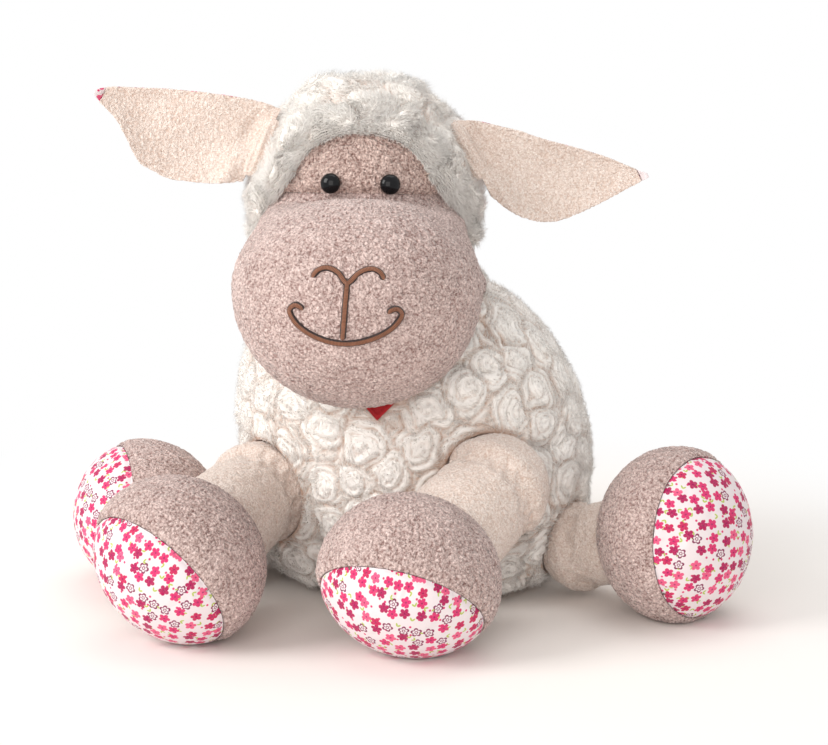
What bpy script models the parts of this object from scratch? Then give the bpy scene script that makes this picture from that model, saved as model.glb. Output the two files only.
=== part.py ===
"""Sitting plush sheep, sewn from covers over loose filling, in metres with +Z up.

The sheep faces -Y and sits on its flat seat, whose centre on the floor is the origin. Each cover is a
separate shell, open where the real one is sewn to the next, and the filling inside it is a solid of its own.
Head, ears, limbs and tail turn about their sewn roots. The head and the limbs have ball-shaped
roots that lie in hollows of the body, so that they turn there without cutting into it.
"""
import math

import bmesh
import bpy
import numpy as np
from mathutils import Matrix, Vector

# Cloth, clearance and mesh values that the whole toy shares
CLEARANCE = 0.0003
TERRY_THICKNESS = 0.003
PLUSH_THICKNESS = 0.006
COTTON_THICKNESS = 0.0012
CUT_OVERRUN = 0.004
FLOOR_FLATTENING = 0.0005
BALL_CUTTER_SIDES = 18
BALL_CUTTER_RINGS = 9

# Body: a leaning pear with a flat seat
BODY_HALF_WIDTH = 0.0945
BODY_HALF_DEPTH = 0.082
BODY_FORM_HEIGHT = 0.196
BODY_LEAN_X = -0.022
BODY_LEAN_Y = -0.029
BODY_LEAN_POWER_SHARE = 2.6
BODY_SQUARENESS_SHARE = 2.25
BODY_SIDES = 24
BODY_PROFILE_SHARES = (
    (0.0, 0.66), (0.025, 0.80), (0.09, 0.915), (0.20, 0.98), (0.33, 1.0), (0.45, 0.985),
    (0.57, 0.935), (0.68, 0.845), (0.78, 0.71), (0.88, 0.55), (1.0, 0.42),
)

# Rosettes of the plush: swells on the body and the hood, which die away near what moves over them
ROSETTE_HEIGHT = 0.0046
ROSETTE_GROOVE = 0.0012
ROSETTE_ROOM_START = 0.006
ROSETTE_ROOM_END = 0.018
BODY_ROSETTES = 190
HOOD_ROSETTES = 120
HOOD_ROSETTES_LOWEST = -0.012
CHIN_ROOM = 0.018
GOLDEN_ANGLE = math.pi * (3 - math.sqrt(5))

# Head: a ball that carries the muzzle, placed in the body's hollow
HEAD_CENTRE_X = -0.0225
HEAD_CENTRE_Y = -0.030
HEAD_ABOVE_BODY = 0.020
HEAD_CENTRE_Z = BODY_FORM_HEIGHT + HEAD_ABOVE_BODY
HEAD_YAW_DEGREES = 12.0
HEAD_ROLL_DEGREES = 0.8
HEAD_BALL_RADIUS = 0.0615
HEAD_SIDES = 24
HEAD_RING_DEGREES = (6, 13, 20, 27, 33, 38, 42.5, 46.5, 51, 57, 66, 78, 92, 107, 122, 138, 153, 167)
HEAD_BLEND_SHARE = 12.0
MUZZLE_FORWARD = 0.080
MUZZLE_DROP = 0.041
MUZZLE_HALF_WIDTH = 0.0652
MUZZLE_HALF_DEPTH = 0.050
MUZZLE_UPPER_HEIGHT = 0.046
MUZZLE_LOWER_HEIGHT = 0.0625
CHEST_CLEARANCE = 0.012
THROAT_SKIM = 0.0002
NECK_OPENING_RADIUS = 0.024

# Face opening of the hood, in degrees from the muzzle's axis, at degrees round it from straight up
FACE_EDGE_DEGREES = (
    (0.0, 65.6), (14.0, 65.2), (27.0, 63.5), (39.0, 59.2), (49.0, 55.4), (61.0, 54.9), (79.0, 60.0),
    (92.0, 64.0), (110.0, 65.0), (146.0, 60.0), (180.0, 55.0),
)
FACE_EDGE_POINTS = 32
EYE_SEAM_TILT_DEGREES = 5.8

# Eyes: pressed domes on a shank, held by a washer behind the cloth
EYE_RADIUS = 0.0053
EYE_BACK_RADIUS = 0.0038
EYE_SEAT = 0.0005
EYE_RIM_HEIGHT = 0.0012
EYE_DOME_HEIGHT = 0.0040
EYE_SPACING = 0.0312
EYE_ABOVE_SEAM = 0.0050
SHANK_RADIUS = 0.0013
SHANK_LENGTH = 0.012
WASHER_RADIUS = 0.0058
WASHER_THICKNESS = 0.0012
WASHER_GAP = 0.0010
EYE_SIDES = 16
EYE_RINGS = 5

# Embroidery: raised satin stitch, placed on a plane in front of the head and carried onto the muzzle
STITCH_WIDTH = 0.0032
STITCH_HEIGHT = 0.0009
STITCH_STEP = 0.0030
STITCH_TOP_SHARE = 0.6
SAMPLES_BETWEEN_KNOTS = 20
FACE_PLANE_DISTANCE = 0.120
FACE_LINE_X = -0.0023
FACE_LINE_LEAN_SHARE = 0.075
NOSE_NOTCH_Z = -0.0283
NOSE_HALF_WIDTH = 0.0173
NOSE_CURL_HEIGHT = 0.0061
NOSE_CURL_SHARES = ((0.0, 0.0), (0.29, 0.72), (0.60, 1.0), (0.86, 0.75), (1.0, 0.18))
MOUTH_LOW_Z = -0.0582
MOUTH_HALF_WIDTH = 0.0270
MOUTH_HEIGHT = 0.0170
MOUTH_SHARES = (
    (0.0, 0.0), (0.29, 0.05), (0.59, 0.20), (0.84, 0.43), (0.98, 0.69), (1.0, 0.86), (0.91, 1.0),
    (0.80, 0.98), (0.75, 0.88),
)

# Ears: terry in front, printed cotton behind, gathered at the root
EAR_TERRY_THICKNESS = 0.0026
EAR_CUP_DEPTH = 0.005
EAR_ROOT_RADIUS = 0.0040
EAR_ROOT_LENGTH = 0.034
EAR_ROOT_PROUD = 0.0014
EAR_ROOT_LEAN_DEGREES = 27.8
EAR_ROOT_ASIDE = 0.0520
EAR_ROOT_FORWARD = 0.0160
EAR_ROOT_UP = 0.0245
EAR_ROOT_SIDES = 12
EAR_STATIONS = 11
EAR_ROWS = 5
EAR_LENGTH = 0.105

# Outline of each ear as shares of its length: way out from the hinge line, upper edge, lower edge
EAR_OUTLINE_SHARES = {
    "right": (
        (0.0, 0.215, -0.195), (0.076, 0.205, -0.248), (0.238, 0.157, -0.330), (0.371, 0.107, -0.371),
        (0.486, 0.057, -0.370), (0.552, 0.029, -0.338), (0.619, -0.004, -0.288), (0.714, -0.051, -0.227),
        (0.800, -0.095, -0.200), (0.870, -0.143, -0.168),
    ),
    "left": (
        (0.0, 0.167, -0.257), (0.048, 0.143, -0.362), (0.095, 0.119, -0.424), (0.171, 0.057, -0.490),
        (0.276, -0.033, -0.530), (0.371, -0.129, -0.536), (0.505, -0.248, -0.537), (0.629, -0.371, -0.533),
        (0.695, -0.450, -0.532), (0.750, -0.505, -0.528),
    ),
}

# Limbs: a terry sleeve, a terry hoof and a printed cotton sole pad over one filling
ARM_ROOT_RADIUS = 0.0285
LEG_ROOT_RADIUS = 0.024
SLEEVE_SWELL_SHARES = ((0.0, 1.0), (0.14, 0.91), (0.45, 0.95), (1.0, 0.94))
SLEEVE_SIDES = 14
ROOT_RINGS = 3
ROOT_OPENING_SHARE = 0.5
HOOF_HALF_WIDTH = 0.0400
HOOF_HALF_LENGTH = 0.0450
HOOF_CROWN_DEPTH = 0.042
HOOF_SOLE_DEPTH = 0.038
SOLE_SEAM_OFFSET = 0.0135
HOOF_SIDES = 16
HOOF_CROWN_RINGS = 5
SOLE_RINGS = 3

# Each limb: centre of its root, place of its hoof on the floor and the turns of its sole
LEFT_ARM_ROOT = (0.060, -0.0800, 0.070)
LEFT_ARM_HOOF = (0.030, -0.147)
LEFT_ARM_SOLE_DEGREES = (-8, 48, 70)
RIGHT_ARM_ROOT = (-0.0735, -0.066, 0.056)
RIGHT_ARM_HOOF = (-0.088, -0.155)
RIGHT_ARM_SOLE_DEGREES = (-30, 30, 50)
LEFT_LEG_ROOT = (0.098, -0.026, 0.027)
LEFT_LEG_HOOF = (0.152, -0.053)
LEFT_LEG_SOLE_DEGREES = (58, -5, -8)
RIGHT_LEG_ROOT = (-0.098, -0.016, 0.027)
RIGHT_LEG_HOOF = (-0.142, -0.0605)
RIGHT_LEG_SOLE_DEGREES = (-58, -5, 80)

# Neck, tab and tail
NECK_PLUG_RADIUS = 0.028
NECK_PLUG_DEPTH = 0.026
NECK_PLUG_SIDES = 20
TAB_WIDTH = 0.020
TAB_LENGTH = 0.024
TAB_THICKNESS = 0.0012
TAB_LOW_CORNER = (-0.001, 0.104)
TAB_TURN_DEGREES = 43.0
TAIL_ROOT_RADIUS = 0.012
TAIL_LENGTH = 0.040
TAIL_ROOT_Z = 0.056
TAIL_FALL_DEGREES = 38.0
TAIL_ROOT_PROUD = 0.0095
TAIL_SIDES = 12
TAIL_SWELL_SHARES = ((0.0, 1.0), (0.35, 1.10), (0.70, 1.20), (0.88, 1.02), (1.0, 0.62))

COLOURS = {
    "cream_plush": (0.86, 0.80, 0.74),
    "cream_terry": (0.80, 0.70, 0.62),
    "taupe_terry": (0.53, 0.39, 0.35),
    "floral_cotton": (0.80, 0.58, 0.62),
    "filling": (0.88, 0.87, 0.84),
    "black_plastic": (0.004, 0.004, 0.006),
    "white_plastic": (0.75, 0.75, 0.73),
    "brown_thread": (0.15, 0.045, 0.025),
    "red_cloth": (0.50, 0.006, 0.012),
}
ROUGHNESS = {"black_plastic": 0.08, "white_plastic": 0.4, "brown_thread": 0.55}
CLOTH_ROUGHNESS_SHARE = 0.95
SHARP_EDGE_DEGREES = {"cream_plush": 75}
PLAIN_SHARP_EDGE_DEGREES = 40


def clear_scene():
    """Remove whatever the file holds before the toy is built."""
    for leftover in list(bpy.data.objects):
        bpy.data.objects.remove(leftover)


def material(name):
    """Plain material of one of the named cloths or plastics."""
    existing = bpy.data.materials.get(name)
    if existing:
        return existing
    made = bpy.data.materials.new(name)
    made.use_nodes = True
    shader = made.node_tree.nodes["Principled BSDF"]
    shader.inputs["Base Color"].default_value = (*COLOURS[name], 1.0)
    shader.inputs["Roughness"].default_value = ROUGHNESS.get(name, CLOTH_ROUGHNESS_SHARE)
    shader.inputs["Metallic"].default_value = 0.0
    return made


def pivot(name, location, rotation=None, parent=None):
    """Empty on a joint's axis, which carries the pieces that turn about it."""
    empty = bpy.data.objects.new(name, None)
    bpy.context.scene.collection.objects.link(empty)
    empty.parent = parent
    turned = rotation.to_4x4() if rotation else Matrix.Identity(4)
    empty.matrix_local = Matrix.Translation(Vector(location)) @ turned
    return empty


def closed_object(name, points, faces, parent=None, cloth=None):
    """Object of one closed outward-facing mesh of triangles, given in its parent's frame.

    Triangles keep the copies that are moved inwards from one form parallel to each other.
    """
    mesh = bpy.data.meshes.new(name)
    mesh.from_pydata([tuple(point) for point in points], [], faces)
    shape = bmesh.new()
    shape.from_mesh(mesh)
    bmesh.ops.recalc_face_normals(shape, faces=shape.faces)
    bmesh.ops.triangulate(shape, faces=shape.faces)
    shape.to_mesh(mesh)
    shape.free()
    mesh.validate()
    made = bpy.data.objects.new(name, mesh)
    bpy.context.scene.collection.objects.link(made)
    made.parent = parent
    if cloth:
        mesh.materials.append(material(cloth))
    return made


def skin_over(rings, first_pole=None, last_pole=None):
    """Points and faces over a stack of equal rings, closed by poles or by flat faces."""
    rings = np.asarray(rings)
    count, sides = rings.shape[0], rings.shape[1]
    points = [tuple(point) for point in rings.reshape(-1, 3)]
    faces = []
    for row in range(count - 1):
        for side in range(sides):
            turn = (side + 1) % sides
            low, high = row * sides, (row + 1) * sides
            faces.append((low + side, low + turn, high + turn, high + side))
    for pole, row in ((first_pole, 0), (last_pole, count - 1)):
        ring = [row * sides + side for side in range(sides)]
        if pole is None:
            faces.append(tuple(ring))
            continue
        points.append(tuple(pole))
        faces += [(ring[side], ring[(side + 1) % sides], len(points) - 1) for side in range(sides)]
    return points, faces


def smooth_table(table, where):
    """Value of a hand-made table, on a smooth curve that keeps between its rows."""
    xs = np.array([row[0] for row in table], float)
    ys = np.array([row[1] for row in table], float)
    slopes = np.diff(ys) / np.diff(xs)
    tangents = np.zeros_like(ys)
    same_way = slopes[:-1] * slopes[1:] > 0
    harmonic = 2 * slopes[:-1] * slopes[1:] / np.where(same_way, slopes[:-1] + slopes[1:], 1)
    tangents[1:-1] = np.where(same_way, harmonic, 0)
    tangents[0], tangents[-1] = slopes[0], slopes[-1]
    where = np.clip(np.asarray(where, float), xs[0], xs[-1])
    left = np.clip(np.searchsorted(xs, where, side="right") - 1, 0, len(xs) - 2)
    span = xs[left + 1] - xs[left]
    t = (where - xs[left]) / span
    rise = (2 * t**3 - 3 * t**2 + 1) * ys[left] + (3 * t**2 - 2 * t**3) * ys[left + 1]
    return rise + span * ((t**3 - 2 * t**2 + t) * tangents[left] + (t**3 - t**2) * tangents[left + 1])


def grown(source, amount, name="grown"):
    """Copy of a smooth form moved outwards by an amount, or by one for each point, inwards when negative."""
    mesh = source.data.copy()
    normals = np.zeros(len(mesh.vertices) * 3)
    mesh.vertex_normals.foreach_get("vector", normals)
    places = np.zeros(len(mesh.vertices) * 3)
    mesh.vertices.foreach_get("co", places)
    moves = normals.reshape(-1, 3) * np.reshape(amount, (-1, 1))
    mesh.vertices.foreach_set("co", places + moves.ravel())
    mesh.update()
    copy = bpy.data.objects.new(name, mesh)
    bpy.context.scene.collection.objects.link(copy)
    copy.parent = source.parent
    return copy


def remove(*things):
    """Delete helper objects."""
    for thing in things:
        bpy.data.objects.remove(thing)


def carve(target, cutter, operation="DIFFERENCE", keep_cutter=False):
    """Cut, join or intersect a target with a cutter, and keep the result as plain mesh."""
    step = target.modifiers.new("carve", "BOOLEAN")
    step.operation = operation
    step.solver = "EXACT"
    step.object = cutter
    bpy.context.view_layer.update()
    evaluated = target.evaluated_get(bpy.context.evaluated_depsgraph_get())
    result = bpy.data.meshes.new_from_object(evaluated)
    target.modifiers.clear()
    target.data = result
    if not keep_cutter:
        remove(cutter)
    return target


def finish_piece(piece, name, cloth):
    """Name a piece, give it its one material and smooth its round faces."""
    piece.name = name
    piece.data.name = name
    piece.data.materials.clear()
    piece.data.materials.append(material(cloth))
    piece.data.polygons.foreach_set("material_index", [0] * len(piece.data.polygons))
    piece.data.shade_smooth()
    sharp = SHARP_EDGE_DEGREES.get(cloth, PLAIN_SHARP_EDGE_DEGREES)
    piece.data.set_sharp_from_angle(angle=math.radians(sharp))
    return piece


def shell_of(form, depth, outer_depth=0.0):
    """Closed skin between two depths below a form's surface, still without an opening."""
    outer = grown(form, -outer_depth)
    return carve(outer, grown(form, -depth))


def ball_cutter(centre, radius, parent=None):
    """Faceted ball whose flat faces all lie outside a sphere of the given radius."""
    sides = BALL_CUTTER_SIDES
    rows = BALL_CUTTER_RINGS
    reach = radius / (math.cos(math.pi / sides) * math.cos(math.pi / (2 * rows)))
    falls = np.linspace(0, math.pi, rows + 1)[1:-1]
    turns = np.linspace(0, 2 * math.pi, sides, endpoint=False)
    circle = np.column_stack((np.cos(turns), np.sin(turns), np.zeros(sides)))
    rings = [circle * np.sin(fall) + (0, 0, np.cos(fall)) for fall in falls]
    points, faces = skin_over(rings, (0, 0, 1), (0, 0, -1))
    placed = np.array(centre) + reach * np.array(points)
    return closed_object("ball_cutter", placed, faces, parent)


def bar_between(start, end, radius, sides, outside=False, parent=None, name="bar"):
    """Straight round bar; with outside set, its flats lie outside the given radius."""
    start, end = np.array(start, float), np.array(end, float)
    along = (end - start) / np.linalg.norm(end - start)
    across = np.cross(along, (0.0, 0.0, 1.0))
    if np.linalg.norm(across) < 0.1:
        across = np.cross(along, (1.0, 0.0, 0.0))
    across = across / np.linalg.norm(across)
    other = np.cross(along, across)
    reach = radius / math.cos(math.pi / sides) if outside else radius
    turns = np.linspace(0, 2 * math.pi, sides, endpoint=False)
    ring = reach * (np.outer(np.cos(turns), across) + np.outer(np.sin(turns), other))
    return closed_object(name, *skin_over([start + ring, end + ring]), parent)


def slab(normal, through, size, parent=None):
    """Thick block whose one large face passes through a point, with the block behind that face."""
    turn = Vector(normal).normalized().to_track_quat("Z", "Y").to_matrix()
    half = size / 2
    square = ((-half, -half), (half, -half), (half, half), (-half, half))
    corners = [(x, y, z) for z in (-size, 0.0) for x, y in square]
    points = [Vector(through) + turn @ Vector(corner) for corner in corners]
    faces = [(0, 1, 2, 3), (4, 5, 6, 7), (0, 1, 5, 4), (1, 2, 6, 5), (2, 3, 7, 6), (3, 0, 4, 7)]
    return closed_object("slab", points, faces, parent)


def unit(vectors):
    """Vectors of length one."""
    return vectors / np.linalg.norm(vectors, axis=-1, keepdims=True)


def ease(low, high, values):
    """Smooth step from 0 at the low value to 1 at the high one."""
    share = np.clip((values - low) / (high - low), 0, 1)
    return share**2 * (3 - 2 * share)


def from_segment(points, start, end):
    """Distance of points from a straight segment."""
    start, along = np.array(start), np.array(end) - np.array(start)
    share = np.clip((points - start) @ along / (along @ along), 0, 1)
    return np.linalg.norm(points - start - share[:, None] * along, axis=-1)


def hull_faces(directions):
    """Triangles that join unit directions into a closed skin round the origin."""
    shape = bmesh.new()
    corners = [shape.verts.new(direction) for direction in directions]
    shape.verts.index_update()
    bmesh.ops.convex_hull(shape, input=corners)
    faces = [tuple(corner.index for corner in face.verts) for face in shape.faces]
    shape.free()
    return faces


def rosette_form(name, middles, edge, onto, inner, room, parent=None):
    """Closed skin with a low swell over each rosette, few faces and no swell where there is no room.

    Neighbouring middles are joined into triangles. The hollow between three rosettes lies where the middle
    of their triangle meets the surface. Middles rise over the surface and hollows sink into its groove.
    """
    joined = np.array(hull_faces(unit(np.vstack((middles, edge)) - inner)))
    between = joined[(joined < len(middles)).all(axis=1)]
    hollows = onto(middles[between].mean(axis=1))
    points = np.vstack((middles, hollows, edge))
    smooth = closed_object(name, points, hull_faces(unit(points - inner)), parent)
    height = (ROSETTE_HEIGHT + ROSETTE_GROOVE) * room(middles) - ROSETTE_GROOVE
    moves = np.concatenate((height, np.full(len(hollows), -ROSETTE_GROOVE), np.zeros(len(edge))))
    form = grown(smooth, moves, name)
    remove(smooth)
    return form


def body_points(shares, turns):
    """Points of the body's outside at shares of its height and turns round it."""
    shares, turns = np.broadcast_arrays(shares, turns)
    swell, lean = smooth_table(BODY_PROFILE_SHARES, shares), shares ** BODY_LEAN_POWER_SHARE
    power = 2 / BODY_SQUARENESS_SHARE
    wide = np.sign(np.cos(turns)) * np.abs(np.cos(turns)) ** power
    deep = np.sign(np.sin(turns)) * np.abs(np.sin(turns)) ** power
    return np.stack((
        BODY_LEAN_X * lean + BODY_HALF_WIDTH * swell * wide,
        BODY_LEAN_Y * lean + BODY_HALF_DEPTH * swell * deep,
        shares * BODY_FORM_HEIGHT,
    ), axis=-1)


def body_form():
    """Outside of the body: a pear of rounded sections that leans towards the head."""
    shares = np.array([row[0] for row in BODY_PROFILE_SHARES])
    turns = np.linspace(0, 2 * math.pi, BODY_SIDES, endpoint=False)
    return closed_object("body_form", *skin_over(body_points(shares[:, None], turns[None, :])))


def onto_body(points):
    """Points moved level, away from the body's leaning middle line, onto its outside."""
    shares = np.clip(points[:, 2] / BODY_FORM_HEIGHT, 0, 1)
    lean = shares ** BODY_LEAN_POWER_SHARE
    wide = (points[:, 0] - BODY_LEAN_X * lean) / BODY_HALF_WIDTH
    deep = (points[:, 1] - BODY_LEAN_Y * lean) / BODY_HALF_DEPTH
    power = BODY_SQUARENESS_SHARE / 2
    turns = np.arctan2(np.sign(deep) * np.abs(deep) ** power, np.sign(wide) * np.abs(wide) ** power)
    return body_points(shares, turns)


def body_rosette_form(limbs):
    """Outside of the body with its rosettes, laid on a spiral of golden angles.

    Equal steps of the body's girth times its height give each rosette an equal area.
    """
    fine = np.linspace(0, 1, 12 * len(BODY_PROFILE_SHARES))
    profile = np.column_stack((BODY_HALF_WIDTH * smooth_table(BODY_PROFILE_SHARES, fine), BODY_FORM_HEIGHT * fine))
    steps = np.linalg.norm(np.diff(profile, axis=0), axis=1) * (profile[1:, 0] + profile[:-1, 0]) / 2
    area = np.concatenate(([0], np.cumsum(steps)))
    number = np.arange(BODY_ROSETTES)
    shares = np.interp((number + 0.5) / BODY_ROSETTES * area[-1], area, fine)
    middles = body_points(shares, number * GOLDEN_ANGLE)
    turns = np.linspace(0, 2 * math.pi, BODY_SIDES, endpoint=False)
    edge = np.vstack([body_points(end, turns) for end in (0.0, 1.0)])
    inner = np.array((0.0, BODY_LEAN_Y / 4, BODY_FORM_HEIGHT / 2))

    def room(points):
        """Share of a rosette's height that limbs, tail, head and chin leave it."""
        head = np.array((HEAD_CENTRE_X, HEAD_CENTRE_Y, HEAD_CENTRE_Z))
        muzzle = head + np.array(head_turn() @ Vector((0, -MUZZLE_FORWARD, -MUZZLE_DROP)))
        gaps = [from_segment(points, limb.root, limb.hoof) - limb.root_radius for limb in limbs]
        gaps.append(np.linalg.norm(points - np.array(tail_root()), axis=-1) - TAIL_ROOT_RADIUS)
        gaps.append(np.linalg.norm(points - head, axis=-1) - HEAD_BALL_RADIUS)
        gaps.append(np.linalg.norm(points - muzzle, axis=-1) - MUZZLE_HALF_WIDTH - CHIN_ROOM)
        gaps.append(points[:, 2])
        return ease(ROSETTE_ROOM_START, ROSETTE_ROOM_END, np.min(gaps, axis=0))

    return rosette_form("body_rosettes", middles, edge, onto_body, inner, room)


def muzzle_axis():
    """Direction from the head's centre to the muzzle's, in the head's frame."""
    along = np.array((0.0, -MUZZLE_FORWARD, -MUZZLE_DROP))
    return along / np.linalg.norm(along)


def head_reach(directions):
    """Distance from the head's centre to its surface, a ball blended with the muzzle's bulb.

    The bulb is an ellipsoid that is deeper below its widest line than above it. A ray meets it where the
    scaled distance to its centre is one; the far root is taken. The ball's radius and that root are blended
    by a high power mean, so that the cheeks run smoothly into the ball.
    """
    directions = np.asarray(directions, float)
    bulb = np.zeros(directions.shape[:-1])
    for height, above in ((MUZZLE_UPPER_HEIGHT, True), (MUZZLE_LOWER_HEIGHT, False)):
        radii = np.array((MUZZLE_HALF_WIDTH, MUZZLE_HALF_DEPTH, height))
        centre = np.array((0.0, -MUZZLE_FORWARD, -MUZZLE_DROP)) / radii
        rays = directions / radii
        squared = np.sum(rays**2, axis=-1)
        along = rays @ centre / squared
        under = along**2 - (centre @ centre - 1) / squared
        root = np.where((under > 0) & (along > 0), along + np.sqrt(np.maximum(under, 0)), 0.0)
        right_half = (root * directions[..., 2] >= -MUZZLE_DROP) == above
        bulb = np.where(right_half, root, bulb)
    ball = HEAD_BALL_RADIUS
    return ball * (1 + (bulb / ball) ** HEAD_BLEND_SHARE) ** (1 / HEAD_BLEND_SHARE)


def around_muzzle_axis(falls, turns):
    """Unit directions at angles from the muzzle's axis, turned round it from straight up."""
    axis = muzzle_axis()
    side = np.array((1.0, 0.0, 0.0))
    up = np.cross(axis, side)
    falls, turns = np.broadcast_arrays(falls, turns)
    return (
        np.cos(falls)[..., None] * axis
        + (np.sin(falls) * np.cos(turns))[..., None] * up
        + (np.sin(falls) * np.sin(turns))[..., None] * side
    )


def head_form(head):
    """Outside of the whole head, hood and face, round the head's centre."""
    falls = np.radians(HEAD_RING_DEGREES)
    turns = np.linspace(0, 2 * math.pi, HEAD_SIDES, endpoint=False)
    rays = around_muzzle_axis(falls[:, None], turns[None, :])
    rings = rays * head_reach(rays)[..., None]
    axis = muzzle_axis()
    front = axis * head_reach(axis)
    return closed_object("head_form", *skin_over(rings, front, -axis * head_reach(-axis)), head)


def head_turn():
    """Rotation of the head from the body's frame."""
    return Matrix.Rotation(math.radians(HEAD_YAW_DEGREES), 3, "Z") @ Matrix.Rotation(
        math.radians(HEAD_ROLL_DEGREES), 3, "Y"
    )


def ear_root(turn):
    """Middle of an ear's root in the head's frame, for the left ear's turn of 1 or the right ear's of -1."""
    aside = np.array((turn * EAR_ROOT_ASIDE, -EAR_ROOT_FORWARD, EAR_ROOT_UP))
    return unit(aside) * (HEAD_BALL_RADIUS + EAR_ROOT_PROUD)


def ear_lean(turn):
    """Rotation that leans an ear's root outwards, in the head's frame."""
    return Matrix.Rotation(-turn * math.radians(EAR_ROOT_LEAN_DEGREES), 3, "Y")


def hood_rosette_form(head):
    """Outside of the head with the hood's rosettes, spread evenly by equal steps of height and golden angles."""
    number = np.arange(HOOD_ROSETTES)
    heights = 1 - (2 * number + 1) / HOOD_ROSETTES
    level = np.sqrt(1 - heights**2)
    turns = number * GOLDEN_ANGLE
    rays = np.column_stack((level * np.cos(turns), level * np.sin(turns), heights))

    def onto(points):
        """Points moved along their rays onto the head."""
        return unit(points) * head_reach(unit(points))[:, None]

    def room(points):
        """Share of a rosette's height that the ears' roots and the body's hollow leave it."""
        gaps = [points[:, 2] - HOOD_ROSETTES_LOWEST]
        for turn in (-1, 1):
            half = np.array(ear_lean(turn) @ Vector((0, 0, EAR_ROOT_LENGTH / 2)))
            ends = (ear_root(turn) - half, ear_root(turn) + half)
            gaps.append(from_segment(points, *ends) - EAR_ROOT_RADIUS)
        return ease(ROSETTE_ROOM_START, ROSETTE_ROOM_END, np.min(gaps, axis=0))

    return rosette_form("hood_rosettes", onto(rays), np.zeros((0, 3)), onto, np.zeros(3), room, head)


def face_cone(head, narrower=0.0):
    """Cutter with the outline of the hood's face opening, from the head's centre forwards."""
    turns = np.linspace(0, 2 * math.pi, FACE_EDGE_POINTS, endpoint=False)
    folded = 180.0 - np.abs(np.degrees(turns) - 180.0)
    falls = np.radians(smooth_table(FACE_EDGE_DEGREES, folded)) - narrower / HEAD_BALL_RADIUS
    reach = 2 * MUZZLE_FORWARD
    ring = reach * around_muzzle_axis(falls, turns)
    far = ring + muzzle_axis() * reach
    tip = muzzle_axis() * 3 * reach
    return closed_object("face_cone", *skin_over([ring, far], np.zeros(3), tip), head)


def throat_cutter(body, head, extra):
    """Space that the chest needs under the chin: the grown body in front, less the head's ball."""
    chest = grown(body, CHEST_CLEARANCE + extra)
    ball = ball_cutter((0, 0, 0), HEAD_BALL_RADIUS - TERRY_THICKNESS - THROAT_SKIM - extra, head)
    carve(chest, ball)
    front = slab((0, 1, 0), (0, extra - HEAD_BALL_RADIUS / 3, 0), 6 * HEAD_BALL_RADIUS, head)
    return carve(chest, front, "INTERSECT")


def tube_rings(root_radius, length, swell_shares, sides):
    """Rings along local +Z: a ball's back half at the root, then a tube to the given length."""
    turns = np.linspace(0, 2 * math.pi, sides, endpoint=False)
    circle = np.column_stack((np.cos(turns), np.sin(turns), np.zeros(sides)))
    rings = []
    for fall in np.linspace(-math.pi / 2, 0, ROOT_RINGS + 1)[1:]:
        rings.append(circle * root_radius * math.cos(fall) + (0, 0, root_radius * math.sin(fall)))
    for share, swell in swell_shares[1:]:
        rings.append(circle * root_radius * swell + (0, 0, share * length))
    return rings


def aim(axis, up=(0.0, 0.0, 1.0)):
    """Rotation that turns local +Z to an axis and keeps local +Y near an up direction."""
    along = Vector(axis).normalized()
    side = Vector(up).cross(along).normalized()
    return Matrix((side, along.cross(side), along)).transposed()


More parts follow.
